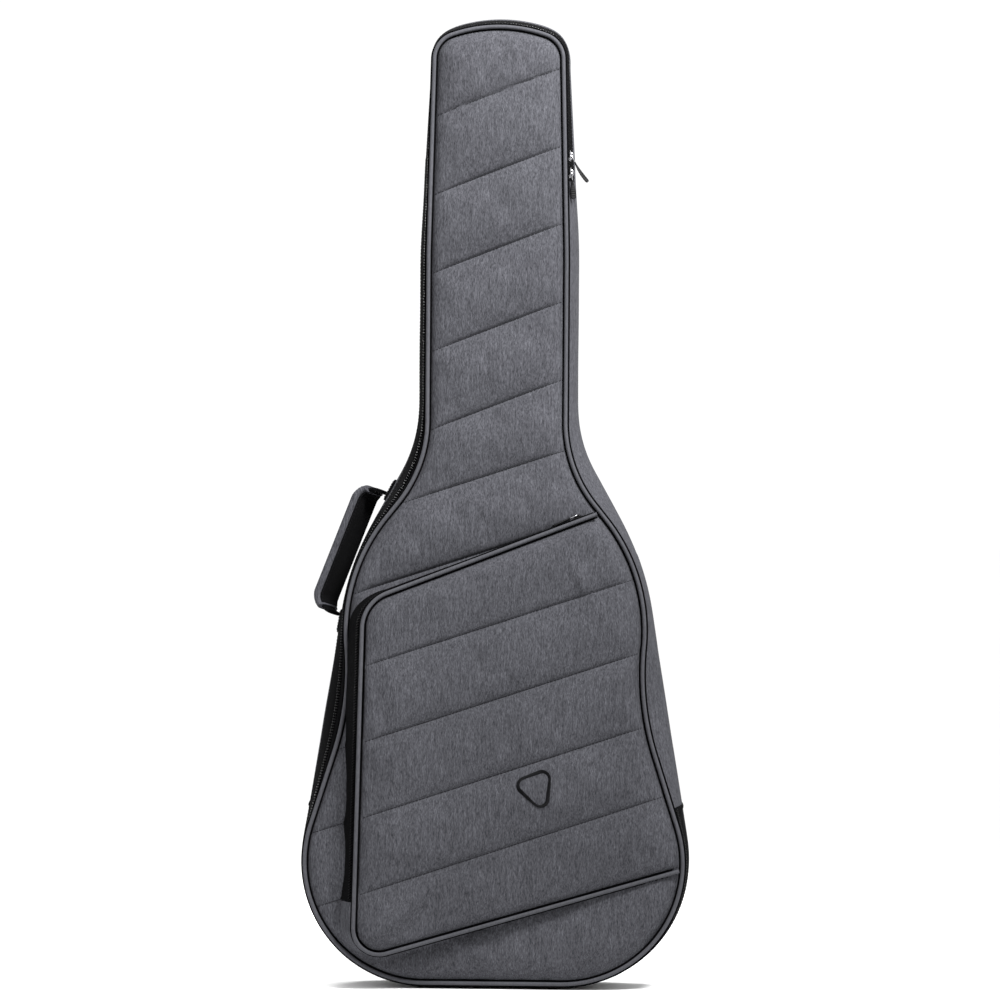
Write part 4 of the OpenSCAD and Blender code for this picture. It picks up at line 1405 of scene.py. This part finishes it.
def make_strap_patches():
    """The yoke and the lower anchors that the straps are sewn to."""
    low, high = node_box("strap_yoke")
    piece(rounded_box("yoke_patch", low, high, CLOTH, 14.0, 13), "body", ["strap_yoke"])
    x0, x1, z0, z1 = low[0] + 4, high[0] - 4, low[2] + 4, high[2] - 4
    line = resample(np.array([(x0, z0), (x1, z0), (x1, z1), (x0, z1), (x0, z0)]), 200)
    line = xyz(line[:, 0], high[1] + 0.1, line[:, 1])
    rows = [stitches(line, (0, 1, 0), (3.5, 2.6, 0.6))]
    patches = []
    low, high = node_box("strap_anchors")
    for side in (-1, 1):
        x, z = side * STRAP_LOW[0], (low[2] + high[2]) / 2
        patches.append(rounded_box("patch", (x - 17, *low[1:]), (x + 17, *high[1:]), WEBBING, 12.0, 9))
        cross = np.array([(x + a, high[1] + 0.1, z + b) for a, b in crossed_box(26, 16)])
        rows.append(stitches(cross, (0, 1, 0), CROSS_STITCH))
    piece(joined("strap_anchor_patches", patches), "body", ["strap_anchors"])
    piece(joined("strap_stitching", rows), "body")


# ---- Zip sliders and pulls ----
RING_REACH = 7.6
BAIL_HEIGHT = 4.7
# The outline of a slider's plate at each height: share of its full size, and height
PLATE_LEVELS = ((0.05, 0), (0.9, 0), (1, 0.35), (1, 0.85), (0.9, 1.2), (0.5, 1.45), (0.05, 1.5))


def make_slider(name, matrix, metal):
    """A slider across the coils: two waisted plates, a bridge between them and a wire bail."""
    a = np.linspace(0, 2 * math.pi, 40, endpoint=False)
    x = 6.2 * np.cos(a)
    y = 4.2 * np.sin(a) * (1 + 0.12 * np.cos(a) - 0.10 * np.cos(2 * a))
    parts = []
    for z in (-2.9, 2.4):
        verts = np.concatenate([xyz(x * share, y * share, z + h) for share, h in PLATE_LEVELS])
        faces = tube_faces(verts, len(PLATE_LEVELS), len(a))
        parts.append(add_mesh("plate", moved(verts, matrix), faces, metal))
    parts.append(rounded_box("post", (-5.8, -0.5, -2.4), (-2.0, 0.5, 3.0), metal, 8.0, 3, matrix))
    t = np.linspace(0, math.pi, 20)
    bail = moved(xyz(3.4 * np.cos(t), 0, 3.2 + 2.8 * np.sin(t)), matrix)
    parts.append(sweep("bail", bail, turned([0, 1, 0], matrix), 1.5, 2.2, metal, sides=10))
    piece(joined(name + "_slider_body", parts), name + "_zip_slider", [name + "_slider"])


def make_pull(name, matrix, lift, length, bend, twist=0.0):
    """A wire ring through the bail, and a moulded tab on a short cord loop."""
    body = name + "_zip_pull"
    turn = Matrix.Rotation(math.radians(lift), 4, "Y")
    matrix = matrix @ Matrix.Translation((0, 0, BAIL_HEIGHT)) @ turn
    t = np.linspace(0, 2 * math.pi, 36, endpoint=False)
    ring = moved(xyz(-3.4 + 4.8 * np.cos(t), 2.7 * np.sin(t), 0), matrix)
    up = turned([0, 0, 1], matrix)
    wire = sweep(name + "_pull_ring", ring, up, 1.3, 1.3, CHROME, sides=10, closed=True)
    piece(wire, body)
    s = np.linspace(0, 1, 40)
    path = moved(xyz(-RING_REACH - (length - RING_REACH) * s, 0, bend * s**2), matrix)
    width = 3.4 + 3.2 * np.clip((s - 0.1) / 0.5, 0, 1) ** 1.3
    width = np.maximum(width * np.sqrt(np.clip((1.015 - s) / 0.09, 0.0, 1)), 0.8)
    ribs = 1 + 0.10 * np.sin(s * 2 * math.pi * 9) * (s > 0.3) * (s < 0.85)
    roll = twist * np.clip(s / 0.35, 0, 1)
    up = turned(xyz(0, np.sin(roll), np.cos(roll)), matrix)
    tab = sweep(name + "_pull_tab", path, up, width, (1.7 + 0.9 * s) * ribs, RUBBER, sides=18, power=3.0)
    piece(tab, body, [name + "_pull"])


def main_zip_matrix(z, out):
    """The frame of a slider on the main zip at height z, out from the outline."""
    x, face = straight(PANEL_BENDS, 4, z)
    at = Matrix.Translation((x - 1.15 + out, ZIP_LINE, z))
    return at @ Matrix.Rotation(math.pi / 2 - face, 4, "Y") @ Matrix.Rotation(math.pi, 4, "Z")


def make_sliders():
    # Name, height, and the pull's lift in degrees, length, bend and twist
    for name, z, *pull in (("upper", 924.0, 24.0, 34.0, 4.0, 0.5), ("lower", 905.0, 1.0, 29.0, 0.8, 1.35)):
        make_slider(name, main_zip_matrix(z, 2.1), CHROME)
        make_pull(name, main_zip_matrix(z, 1.9), *pull)
    x = 92.0
    at = to_row(x, 8.6, pocket_edge(POCKET_TOP, x))
    spin = Matrix.Rotation(POCKET_TILT, 4, "Z") @ Matrix.Rotation(-POCKET_TOP[2], 4, "Y")
    about = Matrix.Rotation(math.pi, 4, "Z")
    matrix = Matrix.Translation(at) @ spin @ Matrix.Translation((0, 0, -1)) @ about
    make_slider("pocket", matrix, LACQUER)
    make_pull("pocket", matrix @ Matrix.Translation((0, 0, 1.2)) @ about, -3, 29.0, -0.6)


def finish_cad_nodes():
    """CAD pieces that keep their own shape get softened edges and their material."""
    kept = (("left_ladder_lock", PLASTIC), ("right_ladder_lock", PLASTIC), ("zip_end_tabs", BINDING_CLOTH_AND_SHADE))
    for node, material in kept:
        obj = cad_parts[node]
        obj.data.materials.clear()
        obj.data.materials.append(material)
        soft = obj.modifiers.new("soft_edges", "BEVEL")
        soft.width = 0.7 * MM
        soft.segments = 3
        soft.limit_method = "ANGLE"
        soft.harden_normals = False


make_lid()
make_gusset()
make_gusset_inside()
make_zip()
make_pocket()
make_back()
make_inside()
make_handle()
make_handle_anchors()
make_strap("left", -1)
make_strap("right", 1)
make_strap_patches()
make_sliders()
finish_cad_nodes()


# ---- Studio ----
def make_studio():
    bm = bmesh.new()
    bmesh.ops.create_circle(bm, cap_ends=True, radius=60, segments=96)
    mesh = bpy.data.meshes.new("studio_floor")
    bm.to_mesh(mesh)
    bm.free()
    floor = bpy.data.objects.new("studio_floor", mesh)
    bpy.context.scene.collection.objects.link(floor)
    s = Shade("studio_floor", Roughness=0.9)
    s.put(s.tint(s.noise(3), (0.960,) * 3, (0.985,) * 3), s.shader.inputs["Base Color"])
    mesh.materials.append(s.material)
    world = bpy.data.worlds.new("studio")
    bpy.context.scene.world = world
    world.use_nodes = True
    background = world.node_tree.nodes["Background"]
    background.inputs["Color"].default_value = (1, 1, 1, 1)
    background.inputs["Strength"].default_value = 1.05
    # Name, place, target, size, watts and spread in degrees
    lights = (
        ("key", (0.9, -1.15, 2.35), (0.02, 0.0, 0.95), 0.6, 20.0, 55),
        ("back", (-1.0, 2.0, 2.8), (0.0, 0.0, 0.6), 1.0, 16, 70),
    )
    for name, place, target, size, power, spread in lights:
        data = bpy.data.lights.new(name, "AREA")
        data.shape = "SQUARE"
        data.size = size
        data.energy = power
        data.spread = math.radians(spread)
        light = bpy.data.objects.new(name, data)
        light.location = place
        light.rotation_euler = (Vector(target) - Vector(place)).to_track_quat("-Z", "Y").to_euler()
        light.visible_camera = False
        bpy.context.scene.collection.objects.link(light)


def make_camera():
    """Square on, a little to the right, from far off."""
    # Metres off, and metres seen across the picture
    distance, seen = 6.0, 1.117
    yaw, roll = math.radians(2.5), math.radians(0.4)
    target = Vector((0.0022, 0, 0.5417))
    data = bpy.data.cameras.new("camera")
    data.lens = data.sensor_width * distance / seen
    camera = bpy.data.objects.new("camera", data)
    away = Vector((math.sin(yaw), -math.cos(yaw), 0))
    camera.location = target + away * distance
    turn = (-away).to_track_quat("-Z", "Y").to_matrix() @ Matrix.Rotation(roll, 3, "Z")
    camera.rotation_euler = turn.to_euler()
    bpy.context.scene.collection.objects.link(camera)
    bpy.context.scene.camera = camera


make_studio()
make_camera()
bpy.context.scene.view_settings.view_transform = "Standard"
